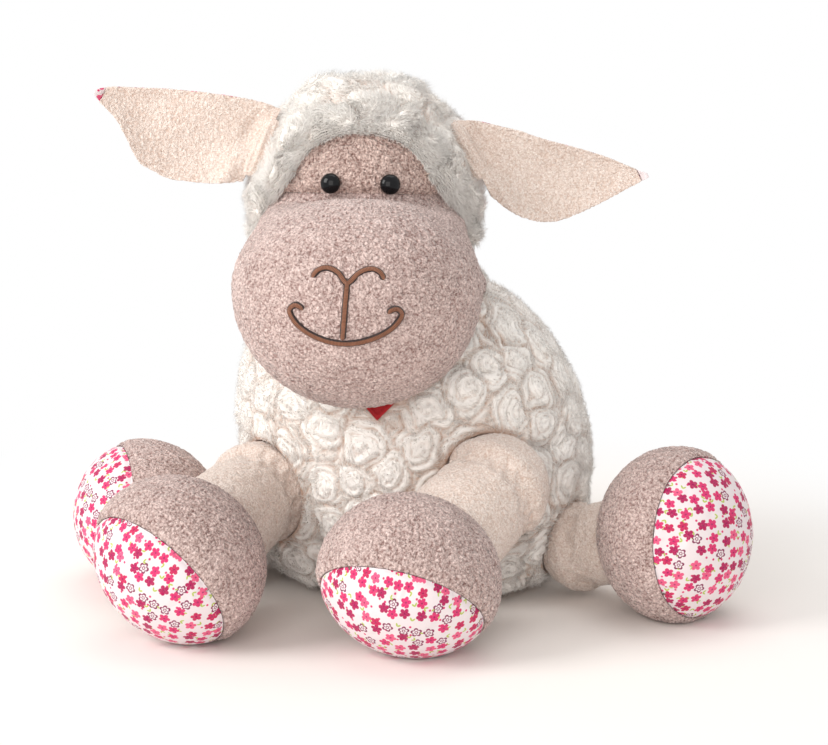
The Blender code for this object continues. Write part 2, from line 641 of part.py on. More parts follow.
class Limb:
    """One arm or leg: the pivot at its root, a straight sleeve and the hoof at its end."""

    def __init__(self, name, root_radius, root, hoof_place, sole_aim):
        self.name = name
        self.root = Vector(root)
        self.sole_aim = sole_aim
        self.root_radius = root_radius
        self.pivot = pivot(name + "_pivot", root)
        lowest = min(height for _, _, height in self.hoof_skin()[0])
        self.hoof = Vector((*hoof_place, -lowest - FLOOR_FLATTENING))

    def sleeve_form(self):
        """Tube from the ball-shaped root into the hoof."""
        reach = self.hoof - self.root
        rings = tube_rings(self.root_radius, reach.length, SLEEVE_SWELL_SHARES, SLEEVE_SIDES)
        turn = np.array(aim(reach))
        placed = [ring @ turn.T for ring in rings]
        pole = turn @ np.array((0, 0, -self.root_radius))
        return closed_object(self.name + "_sleeve_form", *skin_over(placed, pole, None), self.pivot)

    def sole_frame(self):
        """Rotation of the hoof: local Z out through the sole, local Y along its long way."""
        yaw, down, roll = (math.radians(angle) for angle in self.sole_aim)
        level = Matrix.Rotation(yaw, 3, "Z")
        dip = Matrix.Rotation(math.pi / 2 + down, 3, "X")
        return level @ dip @ Matrix.Rotation(roll, 3, "Z")

    def hoof_skin(self):
        """Points and faces of the hoof about its own centre: a deep crown and a shallow sole dome."""
        sections = []
        for share in np.linspace(0, 1, HOOF_CROWN_RINGS + 1)[1:]:
            fall = share * math.pi / 2
            sections.append((-HOOF_CROWN_DEPTH * math.cos(fall), math.sin(fall)))
        for share in np.linspace(0, 1, SOLE_RINGS + 1)[1:-1]:
            fall = share * math.pi / 2
            sections.append((HOOF_SOLE_DEPTH * math.sin(fall), math.cos(fall)))
        turns = np.linspace(0, 2 * math.pi, HOOF_SIDES, endpoint=False)
        oval = np.column_stack((HOOF_HALF_WIDTH * np.cos(turns), HOOF_HALF_LENGTH * np.sin(turns), 0 * turns))
        turn = np.array(self.sole_frame())
        rings = [(oval * wide + (0, 0, place)) @ turn.T for place, wide in sections]
        crown = turn @ np.array((0, 0, -HOOF_CROWN_DEPTH))
        sole = turn @ np.array((0, 0, HOOF_SOLE_DEPTH))
        return skin_over(rings, crown, sole)

    def hoof_form(self):
        """Outside of the hoof at the end of the sleeve."""
        points, faces = self.hoof_skin()
        placed = np.array(points) + np.array(self.hoof - self.root)
        return closed_object(self.name + "_hoof_form", placed, faces, self.pivot)

    def build(self):
        """Sleeve, hoof cover, sole pad and filling, each open where it is sewn to the next."""
        tube = self.sleeve_form()
        ball = self.hoof_form()
        normal = self.sole_frame() @ Vector((0, 0, 1))
        centre = self.hoof - self.root
        seam = centre + normal * SOLE_SEAM_OFFSET
        size = 4 * HOOF_HALF_LENGTH
        ground = Vector((centre.x, centre.y, -self.root.z))

        sleeve = shell_of(tube, TERRY_THICKNESS)
        carve(sleeve, grown(ball, CLEARANCE))
        mouth = -centre.normalized() * 2 * self.root_radius
        opening = self.root_radius * ROOT_OPENING_SHARE
        carve(sleeve, bar_between((0, 0, 0), mouth, opening, SLEEVE_SIDES, parent=self.pivot))
        finish_piece(sleeve, self.name + "_sleeve", "cream_terry")

        cover = shell_of(ball, TERRY_THICKNESS)
        carve(cover, grown(tube, -TERRY_THICKNESS))
        carve(cover, slab(-normal, seam - normal * CLEARANCE / 2, size, self.pivot))
        carve(cover, slab((0, 0, 1), ground, size, self.pivot))
        finish_piece(cover, self.name + "_hoof_cover", "taupe_terry")

        pad = shell_of(ball, COTTON_THICKNESS + TERRY_THICKNESS / 2)
        carve(pad, slab(normal, seam + normal * CLEARANCE / 2, size, self.pivot))
        carve(pad, slab((0, 0, 1), ground, size, self.pivot))
        finish_piece(pad, self.name + "_sole_pad", "floral_cotton")

        filling = grown(ball, -TERRY_THICKNESS - CLEARANCE)
        carve(filling, grown(tube, -TERRY_THICKNESS - CLEARANCE), "UNION")
        under = ground + Vector((0, 0, TERRY_THICKNESS + CLEARANCE))
        carve(filling, slab((0, 0, 1), under, size, self.pivot))
        finish_piece(filling, self.name + "_filling", "filling")
        remove(tube, ball)


def build_body(limbs):
    """Plush cover and filling of the body, hollowed for the head, the limbs and the tail."""
    form = body_form()
    cover = carve(body_rosette_form(limbs), grown(form, -PLUSH_THICKNESS))
    filling = grown(form, -PLUSH_THICKNESS - CLEARANCE)
    head_centre = (HEAD_CENTRE_X, HEAD_CENTRE_Y, HEAD_CENTRE_Z)
    hollows = [(head_centre, HEAD_BALL_RADIUS)]
    hollows += [(tuple(limb.root), limb.root_radius) for limb in limbs]
    hollows.append((tail_root(), TAIL_ROOT_RADIUS))
    for piece in (cover, filling):
        for centre, radius in hollows:
            carve(piece, ball_cutter(centre, radius + CLEARANCE))
    low = HEAD_CENTRE_Z - HEAD_BALL_RADIUS - NECK_PLUG_DEPTH
    base = (HEAD_CENTRE_X, HEAD_CENTRE_Y, low - CLEARANCE)
    wide = NECK_PLUG_RADIUS + CLEARANCE
    carve(filling, bar_between(base, head_centre, wide, NECK_PLUG_SIDES, outside=True))
    finish_piece(cover, "body_cover", "cream_plush")
    finish_piece(filling, "body_filling", "filling")
    return form


def tail_root():
    """Centre of the tail's ball-shaped root, proud of the body's back."""
    share = TAIL_ROOT_Z / BODY_FORM_HEIGHT
    lean = BODY_LEAN_Y * share**BODY_LEAN_POWER_SHARE
    back = lean + BODY_HALF_DEPTH * float(smooth_table(BODY_PROFILE_SHARES, share))
    return (0.0, back + TAIL_ROOT_PROUD, TAIL_ROOT_Z)


def build_tail():
    """Short stuffed tail: a plush cover, open at its root, over its own filling."""
    root = pivot("tail_pivot", tail_root())
    fall = math.radians(TAIL_FALL_DEGREES)
    turn = np.array(aim((0, math.cos(fall), -math.sin(fall))))
    rings = tube_rings(TAIL_ROOT_RADIUS, TAIL_LENGTH, TAIL_SWELL_SHARES, TAIL_SIDES)
    placed = [ring @ turn.T for ring in rings]
    pole = turn @ np.array((0, 0, -TAIL_ROOT_RADIUS))
    tip = turn @ np.array((0, 0, TAIL_LENGTH + TAIL_ROOT_RADIUS / 3))
    form = closed_object("tail_form", *skin_over(placed, pole, tip), root)
    cover = shell_of(form, TERRY_THICKNESS)
    mouth = turn @ np.array((0, 0, -2 * TAIL_ROOT_RADIUS))
    opening = TAIL_ROOT_RADIUS * ROOT_OPENING_SHARE
    carve(cover, bar_between((0, 0, 0), mouth, opening, TAIL_SIDES, parent=root))
    finish_piece(cover, "tail_cover", "cream_plush")
    finish_piece(grown(form, -TERRY_THICKNESS - CLEARANCE), "tail_filling", "filling")
    remove(form)


def chest_front(across, height, lift):
    """Point at a height in front of the chest, a little off its surface, and the outward direction there."""
    def reach(x, z):
        share = z / BODY_FORM_HEIGHT
        slant = share**BODY_LEAN_POWER_SHARE
        swell = float(smooth_table(BODY_PROFILE_SHARES, share))
        wide = abs(x - BODY_LEAN_X * slant) / (BODY_HALF_WIDTH * swell)
        deep = (1 - wide**BODY_SQUARENESS_SHARE) ** (1 / BODY_SQUARENESS_SHARE)
        return np.array((x, BODY_LEAN_Y * slant - BODY_HALF_DEPTH * swell * deep, z))
    step = TAB_WIDTH / 4
    sideways = reach(across + step, height) - reach(across - step, height)
    upwards = reach(across, height + step) - reach(across, height - step)
    normal = np.cross(sideways, upwards)
    normal = normal / np.linalg.norm(normal)
    return reach(across, height) + normal * lift, normal


def build_tab():
    """Plain red cloth tab sewn to the chest under the chin, one corner hanging lowest."""
    turn = math.radians(TAB_TURN_DEGREES)
    along = np.array((math.sin(turn), math.cos(turn)))
    aside = np.array((-math.cos(turn), math.sin(turn)))
    low = np.array(TAB_LOW_CORNER)
    rings = []
    for lift in (2 * CLEARANCE, 2 * CLEARANCE + TAB_THICKNESS):
        ring = []
        for wide, long in ((0, 0), (0, 0.5), (0, 1), (0.5, 1), (1, 1), (1, 0.5), (1, 0), (0.5, 0)):
            across, height = low + aside * wide * TAB_WIDTH + along * long * TAB_LENGTH
            ring.append(chest_front(across, height, lift)[0])
        rings.append(ring)
    tab = closed_object("chest_tab", *skin_over(rings))
    finish_piece(tab, "chest_tab", "red_cloth")


def build_neck():
    """Plug of filling in the neck opening, which turns with the head and cradles it when it nods."""
    centre = Vector((HEAD_CENTRE_X, HEAD_CENTRE_Y, HEAD_CENTRE_Z))
    neck = pivot("neck_pivot", centre)
    low = (0, 0, -HEAD_BALL_RADIUS - NECK_PLUG_DEPTH)
    plug = bar_between(low, (0, 0, -HEAD_BALL_RADIUS / 2), NECK_PLUG_RADIUS, NECK_PLUG_SIDES, parent=neck)
    carve(plug, ball_cutter((0, 0, 0), HEAD_BALL_RADIUS + CLEARANCE, neck))
    finish_piece(plug, "neck_filling", "filling")
    return neck


def face_point(across, up, lift=0.0):
    """Point on the face panels, given as a place on a plane in front of the head."""
    ray = np.array((across, -FACE_PLANE_DISTANCE, up))
    ray = ray / np.linalg.norm(ray)
    step = HEAD_BALL_RADIUS / 100
    around = [ray + np.array(shift) * step for shift in ((1, 0, 0), (-1, 0, 0), (0, 0, 1), (0, 0, -1))]
    reached = [r / np.linalg.norm(r) * head_reach(r / np.linalg.norm(r)) for r in around]
    normal = np.cross(reached[0] - reached[1], reached[2] - reached[3])
    normal = normal / np.linalg.norm(normal)
    return ray * head_reach(ray) + normal * (lift - TERRY_THICKNESS), normal


def eye_places():
    """Centre on the face and outward direction of each eye."""
    tilt = math.tan(math.radians(EYE_SEAM_TILT_DEGREES))
    scale = FACE_PLANE_DISTANCE / (HEAD_BALL_RADIUS - TERRY_THICKNESS)
    for name, side in (("right", -1), ("left", 1)):
        across = side * EYE_SPACING / 2 * scale
        up = EYE_ABOVE_SEAM * scale + tilt * FACE_PLANE_DISTANCE
        yield name, *face_point(across, up)


def build_eye(name, place, normal, head):
    """Eye dome on its shank, turned about the outward direction, and the washer behind the cloth."""
    falls = np.linspace(0, math.pi / 2, EYE_RINGS + 1)[:-1]
    rim = EYE_SEAT + EYE_RIM_HEIGHT
    profile = [(SHANK_RADIUS, -SHANK_LENGTH), (SHANK_RADIUS, EYE_SEAT), (EYE_BACK_RADIUS, EYE_SEAT)]
    profile += [(EYE_RADIUS * math.cos(fall), rim + EYE_DOME_HEIGHT * math.sin(fall)) for fall in falls]
    turns = np.linspace(0, 2 * math.pi, EYE_SIDES, endpoint=False)
    turn = np.array(aim(normal))
    rings = [
        place + np.column_stack((radius * np.cos(turns), radius * np.sin(turns), 0 * turns + height)) @ turn.T
        for radius, height in profile
    ]
    top = place + normal * (rim + EYE_DOME_HEIGHT)
    eye = closed_object("eye", *skin_over(rings, None, top), head)
    finish_piece(eye, name + "_eye", "black_plastic")
    upper = -TERRY_THICKNESS - WASHER_GAP
    ends = (place + normal * (upper - WASHER_THICKNESS), place + normal * upper)
    washer = bar_between(*ends, WASHER_RADIUS, EYE_SIDES, parent=head)
    bore = (ends[0] - normal * CUT_OVERRUN, ends[1] + normal * CUT_OVERRUN)
    carve(washer, bar_between(*bore, SHANK_RADIUS + CLEARANCE, EYE_SIDES, outside=True, parent=head))
    finish_piece(washer, name + "_eye_washer", "white_plastic")


def smooth_path(knots, step):
    """Evenly spaced points on a smooth curve through the knots of a line of stitching."""
    knots = np.array(knots, float)
    ends = np.vstack((2 * knots[0] - knots[1], knots, 2 * knots[-1] - knots[-2]))
    t = np.linspace(0, 1, SAMPLES_BETWEEN_KNOTS, endpoint=False)[:, None]
    spans = []
    for a, b, c, d in zip(ends[:-3], ends[1:-2], ends[2:-1], ends[3:]):
        bend = a - 5 * b / 2 + 2 * c - d / 2
        twist = (3 * b - a - 3 * c + d) / 2
        spans.append(b + t * (c - a) / 2 + t**2 * bend + t**3 * twist)
    fine = np.vstack((*spans, knots[-1:]))
    run = np.concatenate(([0], np.cumsum(np.linalg.norm(np.diff(fine, axis=0), axis=1))))
    count = max(3, int(round(run[-1] / step)) + 1)
    even = np.linspace(0, run[-1], count)
    return np.column_stack([np.interp(even, run, fine[:, axis]) for axis in range(fine.shape[1])])


def stitch_ribbon(name, path, head):
    """Raised band of satin stitch along a path on the face, a little wider below than on top."""
    places, normals = zip(*(face_point(across, up, CLEARANCE) for across, up in path))
    places, normals = np.array(places), np.array(normals)
    along = np.gradient(places, axis=0)
    side = np.cross(normals, along)
    side = side / np.linalg.norm(side, axis=1)[:, None] * STITCH_WIDTH / 2
    top = side * STITCH_TOP_SHARE
    lift = normals * STITCH_HEIGHT
    corners = [places - side, places + side, places + top + lift, places - top + lift]
    rings = np.stack(corners, axis=1)
    return closed_object(name, *skin_over(rings), head)


def on_face_line(wide, up):
    """Place beside the face's own centre line, which leans a little from the head's."""
    return (FACE_LINE_X + FACE_LINE_LEAN_SHARE * (up - NOSE_NOTCH_Z) + wide, up)


def mirrored_knots(half, wide, tall, low):
    """Knots from one side's end over the centre line to the other side's."""
    one_side = [(w * wide, low + h * tall) for w, h in half]
    other_side = [(-w, h) for w, h in one_side[:0:-1]]
    return [on_face_line(*knot) for knot in other_side + one_side]


def build_embroidery(head):
    """Nose with its two curls and its stem, and the smiling mouth below it."""
    curls = mirrored_knots(NOSE_CURL_SHARES, NOSE_HALF_WIDTH, NOSE_CURL_HEIGHT, NOSE_NOTCH_Z)
    nose = stitch_ribbon("nose", smooth_path(curls, STITCH_STEP), head)
    stem_top = NOSE_NOTCH_Z + STITCH_WIDTH / 4
    stem_low = MOUTH_LOW_Z + STITCH_WIDTH / 2 + 2 * CLEARANCE
    stem = smooth_path([on_face_line(0.0, stem_top), on_face_line(0.0, stem_low)], STITCH_STEP)
    carve(nose, stitch_ribbon("stem", stem, head), "UNION")
    finish_piece(nose, "nose_stitching", "brown_thread")
    smile = mirrored_knots(MOUTH_SHARES, MOUTH_HALF_WIDTH, MOUTH_HEIGHT, MOUTH_LOW_Z)
    mouth = stitch_ribbon("mouth", smooth_path(smile, STITCH_STEP), head)
    finish_piece(mouth, "mouth_stitching", "brown_thread")


def ear_sheet(side, near, far, start):
    """Layer of an ear between two distances from its middle surface, in the ear's hinge frame.

    Stations run outwards along local X from the start and rows along the hinge, local Z, between the two
    edges of the outline. The layer is cupped, so that its middle lies behind its edges.
    """
    outline = np.array(EAR_OUTLINE_SHARES[side])
    ways = np.linspace(0, outline[-1, 0], EAR_STATIONS)
    ways[0] = start / EAR_LENGTH
    upper = smooth_table(outline[:, (0, 1)], ways)[:, None]
    lower = smooth_table(outline[:, (0, 2)], ways)[:, None]
    across = np.linspace(-1, 1, EAR_ROWS)[None, :]
    place = EAR_LENGTH * ((upper + lower) / 2 + across * (upper - lower) / 2)
    cup = EAR_CUP_DEPTH * (1 - across**2) * np.sin(math.pi * ways / outline[-1, 0])[:, None]
    out = (1 if side == "left" else -1) * EAR_LENGTH * np.broadcast_to(ways[:, None], place.shape)
    front = np.stack((out, cup + near, place), axis=-1)
    back = np.stack((out, cup + far, place), axis=-1)
    return skin_over([np.vstack((front[i], back[i][::-1])) for i in range(EAR_STATIONS)])


def build_ears(head, hood):
    """Terry and printed layer of each ear with its gathered root, seated in a groove of the hood."""
    for side, turn in (("left", 1), ("right", -1)):
        ear = pivot(side + "_ear_pivot", ear_root(turn), ear_lean(turn), head)
        half = EAR_TERRY_THICKNESS / 2
        terry = closed_object("ear", *ear_sheet(side, -half, half, 0.0), ear)
        ends = ((0, 0, -EAR_ROOT_LENGTH / 2), (0, 0, EAR_ROOT_LENGTH / 2))
        carve(terry, bar_between(*ends, EAR_ROOT_RADIUS, EAR_ROOT_SIDES, parent=ear), "UNION")
        finish_piece(terry, side + "_ear_terry", "cream_terry")
        start = EAR_ROOT_RADIUS + 2 * CLEARANCE
        layers = (half + 2 * CLEARANCE, half + 2 * CLEARANCE + COTTON_THICKNESS)
        lining = closed_object("lining", *ear_sheet(side, *layers, start), ear)
        finish_piece(lining, side + "_ear_lining", "floral_cotton")
        reach = EAR_ROOT_LENGTH / 2 + CUT_OVERRUN
        wide = EAR_ROOT_RADIUS + CLEARANCE
        bpy.context.view_layer.update()
        groove = bar_between((0, 0, -reach), (0, 0, reach), wide, EAR_ROOT_SIDES, outside=True, parent=ear)
        carve(hood, groove)


def build_head(body, neck):
    """Hood, forehead and muzzle panels, filling, eyes and embroidery of the head."""
    head = pivot("head_pivot", (0, 0, 0), head_turn(), neck)
    bpy.context.view_layer.update()
    form = head_form(head)
    size = 6 * HEAD_BALL_RADIUS

    hood = carve(hood_rosette_form(head), grown(form, -PLUSH_THICKNESS))
    carve(hood, face_cone(head))
    carve(hood, bar_between((0, 0, 0), (0, 0, -size), NECK_OPENING_RADIUS, NECK_PLUG_SIDES, parent=head))

    panel = grown(form, -TERRY_THICKNESS)
    carve(panel, throat_cutter(body, head, 0.0))
    inside = grown(form, -PLUSH_THICKNESS)
    carve(inside, throat_cutter(body, head, TERRY_THICKNESS))
    carve(panel, inside)
    carve(panel, face_cone(head, CLEARANCE), "INTERSECT")

    filling = grown(form, -PLUSH_THICKNESS - CLEARANCE)
    carve(filling, throat_cutter(body, head, TERRY_THICKNESS + CLEARANCE))
    for name, place, normal in eye_places():
        build_eye(name, place, normal, head)
        bottom = place - normal * (SHANK_LENGTH + CUT_OVERRUN)
        pocket = WASHER_RADIUS + CLEARANCE
        carve(filling, bar_between(place, bottom, pocket, EYE_SIDES, outside=True, parent=head))
        hole = (place + normal * CUT_OVERRUN, place - normal * 2 * TERRY_THICKNESS)
        carve(panel, bar_between(*hole, SHANK_RADIUS + CLEARANCE, EYE_SIDES, outside=True, parent=head))

    tilt = math.radians(EYE_SEAM_TILT_DEGREES)
    upward = Vector((0, math.sin(tilt), math.cos(tilt)))
    forehead = panel
    muzzle = grown(panel, 0.0)
    carve(forehead, slab(upward, upward * CLEARANCE / 2, size, head))
    carve(muzzle, slab(-upward, -upward * CLEARANCE / 2, size, head))
    finish_piece(forehead, "forehead_panel", "taupe_terry")
    finish_piece(muzzle, "muzzle_panel", "taupe_terry")
    finish_piece(filling, "head_filling", "filling")
    remove(form)
    return head, hood


def main():
    """Build the whole toy."""
    clear_scene()
    limbs = [
        Limb("left_arm", ARM_ROOT_RADIUS, LEFT_ARM_ROOT, LEFT_ARM_HOOF, LEFT_ARM_SOLE_DEGREES),
        Limb("right_arm", ARM_ROOT_RADIUS, RIGHT_ARM_ROOT, RIGHT_ARM_HOOF, RIGHT_ARM_SOLE_DEGREES),
        Limb("left_leg", LEG_ROOT_RADIUS, LEFT_LEG_ROOT, LEFT_LEG_HOOF, LEFT_LEG_SOLE_DEGREES),
        Limb("right_leg", LEG_ROOT_RADIUS, RIGHT_LEG_ROOT, RIGHT_LEG_HOOF, RIGHT_LEG_SOLE_DEGREES),
    ]
    form = build_body(limbs)
    build_tail()
    build_tab()
    neck = build_neck()
    head, hood = build_head(form, neck)
    build_embroidery(head)
    build_ears(head, hood)
    finish_piece(hood, "hood", "cream_plush")
    for limb in limbs:
        limb.build()
    remove(form)


main()
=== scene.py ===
"""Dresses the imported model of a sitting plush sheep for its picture, in metres with +Z up.

Each cover is a smooth surface worked out with numpy from the toy's own sizes, swelled by a short cloth
simulation where it is stuffed, with the pile of its fabric on top. Hairs, stitching, eyes, ears and the
cloth tab are pieces of their own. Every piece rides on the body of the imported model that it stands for.
"""
import itertools
import logging
import math
from dataclasses import dataclass, field
from enum import Enum
from typing import Any, Callable, Iterator

import bpy
import numpy as np
from mathutils import Matrix, Vector


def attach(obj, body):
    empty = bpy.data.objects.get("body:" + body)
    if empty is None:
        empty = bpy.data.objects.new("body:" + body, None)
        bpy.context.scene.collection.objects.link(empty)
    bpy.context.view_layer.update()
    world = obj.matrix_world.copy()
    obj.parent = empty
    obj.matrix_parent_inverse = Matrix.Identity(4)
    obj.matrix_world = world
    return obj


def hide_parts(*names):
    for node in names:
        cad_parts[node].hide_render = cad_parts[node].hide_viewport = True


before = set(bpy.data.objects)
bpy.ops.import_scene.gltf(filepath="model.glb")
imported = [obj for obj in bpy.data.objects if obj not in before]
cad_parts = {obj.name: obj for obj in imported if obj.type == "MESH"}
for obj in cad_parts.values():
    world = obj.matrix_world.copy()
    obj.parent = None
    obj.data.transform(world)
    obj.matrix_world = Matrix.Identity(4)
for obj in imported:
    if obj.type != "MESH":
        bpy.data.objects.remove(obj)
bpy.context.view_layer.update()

Array = np.ndarray
Colour = tuple[float, float, float, float]
Table = tuple[tuple[float, float], ...]
LOG = logging.getLogger("plush_sheep")
UP = np.array((0.0, 0.0, 1.0))
FLOOR_GAP = 0.0004
FACE_PLANE = 0.120
PLUSH_SLOT = "cream_plush"


# Shader maths

def tint(red: float, green: float, blue: float) -> Colour:
    """Turn a colour of a picture, 0 to 255 a channel, into Blender's linear colour.

    Args:
        red: Red channel.
        green: Green channel.
        blue: Blue channel.

    Returns:
        Linear red, green and blue with a full alpha.
    """
    channels = [value / 255 for value in (red, green, blue)]
    linear = [c / 12.92 if c <= 0.04045 else ((c + 0.055) / 1.055) ** 2.4 for c in channels]
    return (*linear, 1.0)


class Shader:
    """Node tree of one finish, which ends in a Principled shader."""

    def __init__(self, name: str) -> None:
        """Start a material with its Principled shader."""
        self.material = bpy.data.materials.new(name)
        self.material.use_nodes = True
        self.tree = self.material.node_tree
        self.surface = self.tree.nodes["Principled BSDF"]

    def feed(self, socket: bpy.types.NodeSocket, value: Any) -> None:
        """Link a value or a socket to a socket, or write a plain number or colour into it."""
        if isinstance(value, Value):
            value = value.socket
        if isinstance(value, bpy.types.NodeSocket):
            self.tree.links.new(value, socket)
        else:
            socket.default_value = value

    def node(self, kind: str, settings: dict[str, Any] | None = None,
             sockets: dict[str | int, Any] | None = None) -> bpy.types.Node:
        """Add any node.

        Args:
            kind: Blender's type name of the node.
            settings: The node's own settings, with "stops" for a ramp's places and colours.
            sockets: Values or links of its inputs, by name or number.

        Returns:
            The new node.
        """
        made = self.tree.nodes.new(kind)
        for key, value in (settings or {}).items():
            if key != "stops":
                setattr(made, key, value)
                continue
            elements = made.color_ramp.elements
            for element, (place, colour) in zip((elements[0], elements[1]), (value[0], value[-1])):
                element.position, element.color = place, colour
            for place, colour in value[1:-1]:
                elements.new(place).color = colour
        for key, value in (sockets or {}).items():
            self.feed(made.inputs[key], value)
        return made

    def value(self, kind: str, settings: dict[str, Any] | None = None,
              sockets: dict[str | int, Any] | None = None, output: str | int = 0) -> "Value":
        """Add a node and take one of its outputs as a value."""
        return Value(self, self.node(kind, settings, sockets).outputs[output])

    def place(self) -> bpy.types.NodeSocket:
        """Object coordinates, which are the row frame's metres."""
        return self.node("ShaderNodeTexCoord").outputs["Object"]

    def cloth(self) -> bpy.types.NodeSocket:
        """Place on the piece's own cloth, in metres."""
        return self.node("ShaderNodeUVMap", {"uv_map": "cloth"}).outputs["UV"]

    def vector(self, operation: str, *terms: Any) -> bpy.types.NodeSocket:
        """Vector Math node of an operation."""
        return self.node("ShaderNodeVectorMath", {"operation": operation}, dict(enumerate(terms))).outputs[0]

    def split(self, place: Any) -> tuple["Value", "Value"]:
        """First two parts of a place."""
        parts = self.node("ShaderNodeSeparateXYZ", None, {0: place}).outputs
        return Value(self, parts[0]), Value(self, parts[1])

    def attribute(self, name: str) -> "Value":
        """A number that the mesh keeps at each of its points."""
        return self.value("ShaderNodeAttribute", {"attribute_name": name}, output="Fac")

    def noise(self, place: Any, size: float, detail: float = 2.0, twist: float = 0.0) -> "Value":
        """Noise with lumps of a size in metres, from 0 to 1."""
        sockets = {"Vector": place, "Scale": 1 / size, "Detail": detail, "Distortion": twist}
        return self.value("ShaderNodeTexNoise", None, sockets, "Fac")

    def mix(self, factor: Any, first: Any, second: Any) -> bpy.types.NodeSocket:
        """Colour between two colours."""
        made = self.node("ShaderNodeMix", {"data_type": "RGBA"}, {0: factor, 6: first, 7: second})
        return made.outputs[2]

    def colour(self, light: "Value", dark: Any, pale: Any) -> None:
        """Colour the surface between two colours by a light that is held between 0 and 1."""
        self.feed(self.surface.inputs["Base Color"], self.mix(light.held(), dark, pale))

    def bump(self, height: "Value", depth: float, strength: float = 1.0) -> None:
        """Let a value shape the surface's fine relief, up to a depth in metres."""
        made = self.node("ShaderNodeBump", None, {"Height": height, "Distance": depth, "Strength": strength})
        self.feed(self.surface.inputs["Normal"], made.outputs["Normal"])

    def set(self, **constants: float) -> None:
        """Write constant values on the Principled shader's own sockets."""
        for name, constant in constants.items():
            label = name.replace("_", " ").title().replace("Ior", "IOR")
            self.surface.inputs[label].default_value = constant


def operator(operation: str, reflected: bool = False) -> Callable[["Value", Any], "Value"]:
    """Method for one of Value's operators, which adds one Math node.

    Args:
        operation: Operation of the Math node.
        reflected: Whether the value stands to the right of the operator.

    Returns:
        The method.
    """
    def method(self: "Value", other: Any) -> "Value":
        """Result of the operation."""
        return self.math(operation, *((other, self) if reflected else (self, other)))
    return method


@dataclass(frozen=True)
class Value:
    """One number socket, whose arithmetic adds Math nodes."""

    shader: Shader
    socket: bpy.types.NodeSocket

    __add__, __radd__ = operator("ADD"), operator("ADD", True)
    __sub__, __rsub__ = operator("SUBTRACT"), operator("SUBTRACT", True)
    __mul__, __rmul__ = operator("MULTIPLY"), operator("MULTIPLY", True)
    __truediv__, __pow__ = operator("DIVIDE"), operator("POWER")
    __gt__, __lt__ = operator("GREATER_THAN"), operator("LESS_THAN")

    def math(self, operation: str, *terms: Any) -> "Value":
        """Math node of an operation on numbers and values."""
        return self.shader.value("ShaderNodeMath", {"operation": operation}, dict(enumerate(terms)))

    def __abs__(self) -> "Value":
        """Size without sign."""
        return self.math("ABSOLUTE", self)

    def wave(self, operation: str) -> "Value":
        """Sine or cosine, by the name of its operation."""
        return self.math(operation, self)

    def held(self) -> "Value":
        """Value held between 0 and 1."""
        return self.math("MINIMUM", self.math("MAXIMUM", self, 0.0), 1.0)


# Finishes

@dataclass(frozen=True)
class TerryFinish:
    """Curly looped terry: pale lit tips of loops over painted shade in the gaps, both in winding lines."""

    name: str
    # The gap colour is painted shade between the loops; the tip colour is the loops' lit tops.
    gap: Colour
    tip: Colour
    loop: float
    relief: float
    patch: float = 0.014

    def build(self) -> bpy.types.Material:
        """Make the material."""
        shader = Shader(self.name)
        place = shader.place()
        bent = shader.node("ShaderNodeTexNoise", None,
                           {"Vector": place, "Scale": 0.7 / self.loop, "Detail": 1.0})
        pushed = shader.vector("MULTIPLY_ADD", bent.outputs["Color"], (self.loop * 1.6,) * 3, place)
        cells = shader.value("ShaderNodeTexVoronoi", {"feature": "F1"},
                             {"Vector": pushed, "Scale": 0.86 / self.loop, "Randomness": 1.0}, "Distance")
        loops = (1.10 - cells * 1.35).held()
        curls = shader.noise(place, self.loop * 0.7, 2.0, 0.6)
        mottle = shader.noise(place, self.patch)
        # Painted shade and light: cell borders, curl troughs and low pile take the gap colour, and loop
        # middles take the tip colour. Mottle is random tone.
        light = loops * 0.50 + (curls - 0.5) * 1.5 + shader.attribute("pile") * 0.20 + 0.12
        shader.colour(light + (mottle - 0.5) * 0.30, self.gap, self.tip)
        shader.bump(loops * 0.7 + curls * 0.3, self.relief)
        shader.set(roughness=0.92, sheen_weight=0.35, sheen_roughness=0.45, specular_ior_level=0.25)
        return shader.material


@dataclass(frozen=True)
class PlushFinish:
    """Rosette plush: fine hairs that follow the swirl, with a warm painted shade deep in the pile."""

    name: str
    # The deep colour is painted shade in the pile's valleys and at the hairs' roots; the tip colour is the
    # lit hair tips.
    deep: Colour
    tip: Colour
    streak: float = 0.00084
    wisp: float = 0.0016
    patch: float = 0.012
    relief: float = 0.0007

    def build(self) -> bpy.types.Material:
        """Make the material. Streaks run along the swirl, whose map holds metres along and across it."""
        shader = Shader(self.name)
        place = shader.place()
        stretched = shader.vector("MULTIPLY", shader.cloth(), (0.16, 1.0, 1.0))
        streaks = shader.noise(stretched, self.streak, 2.0, 0.6)
        wisps = shader.noise(place, self.wisp, 2.0, 0.8)
        mottle = shader.noise(place, self.patch)
        # Painted shade: a low pile share, found in valleys, at roots and where the pile lies flat, takes the
        # deep colour.
        light = shader.attribute("pile") * 1.25 + 0.08 + (streaks - 0.5) * 0.8 + (wisps - 0.5) * 0.5
        shader.colour(light + (mottle - 0.5) * 0.3, self.deep, self.tip)
        shader.bump(streaks * 0.7 + wisps * 0.5, self.relief, 0.75)
        shader.set(roughness=0.95, sheen_weight=0.35, sheen_roughness=0.5, specular_ior_level=0.15)
        return shader.material


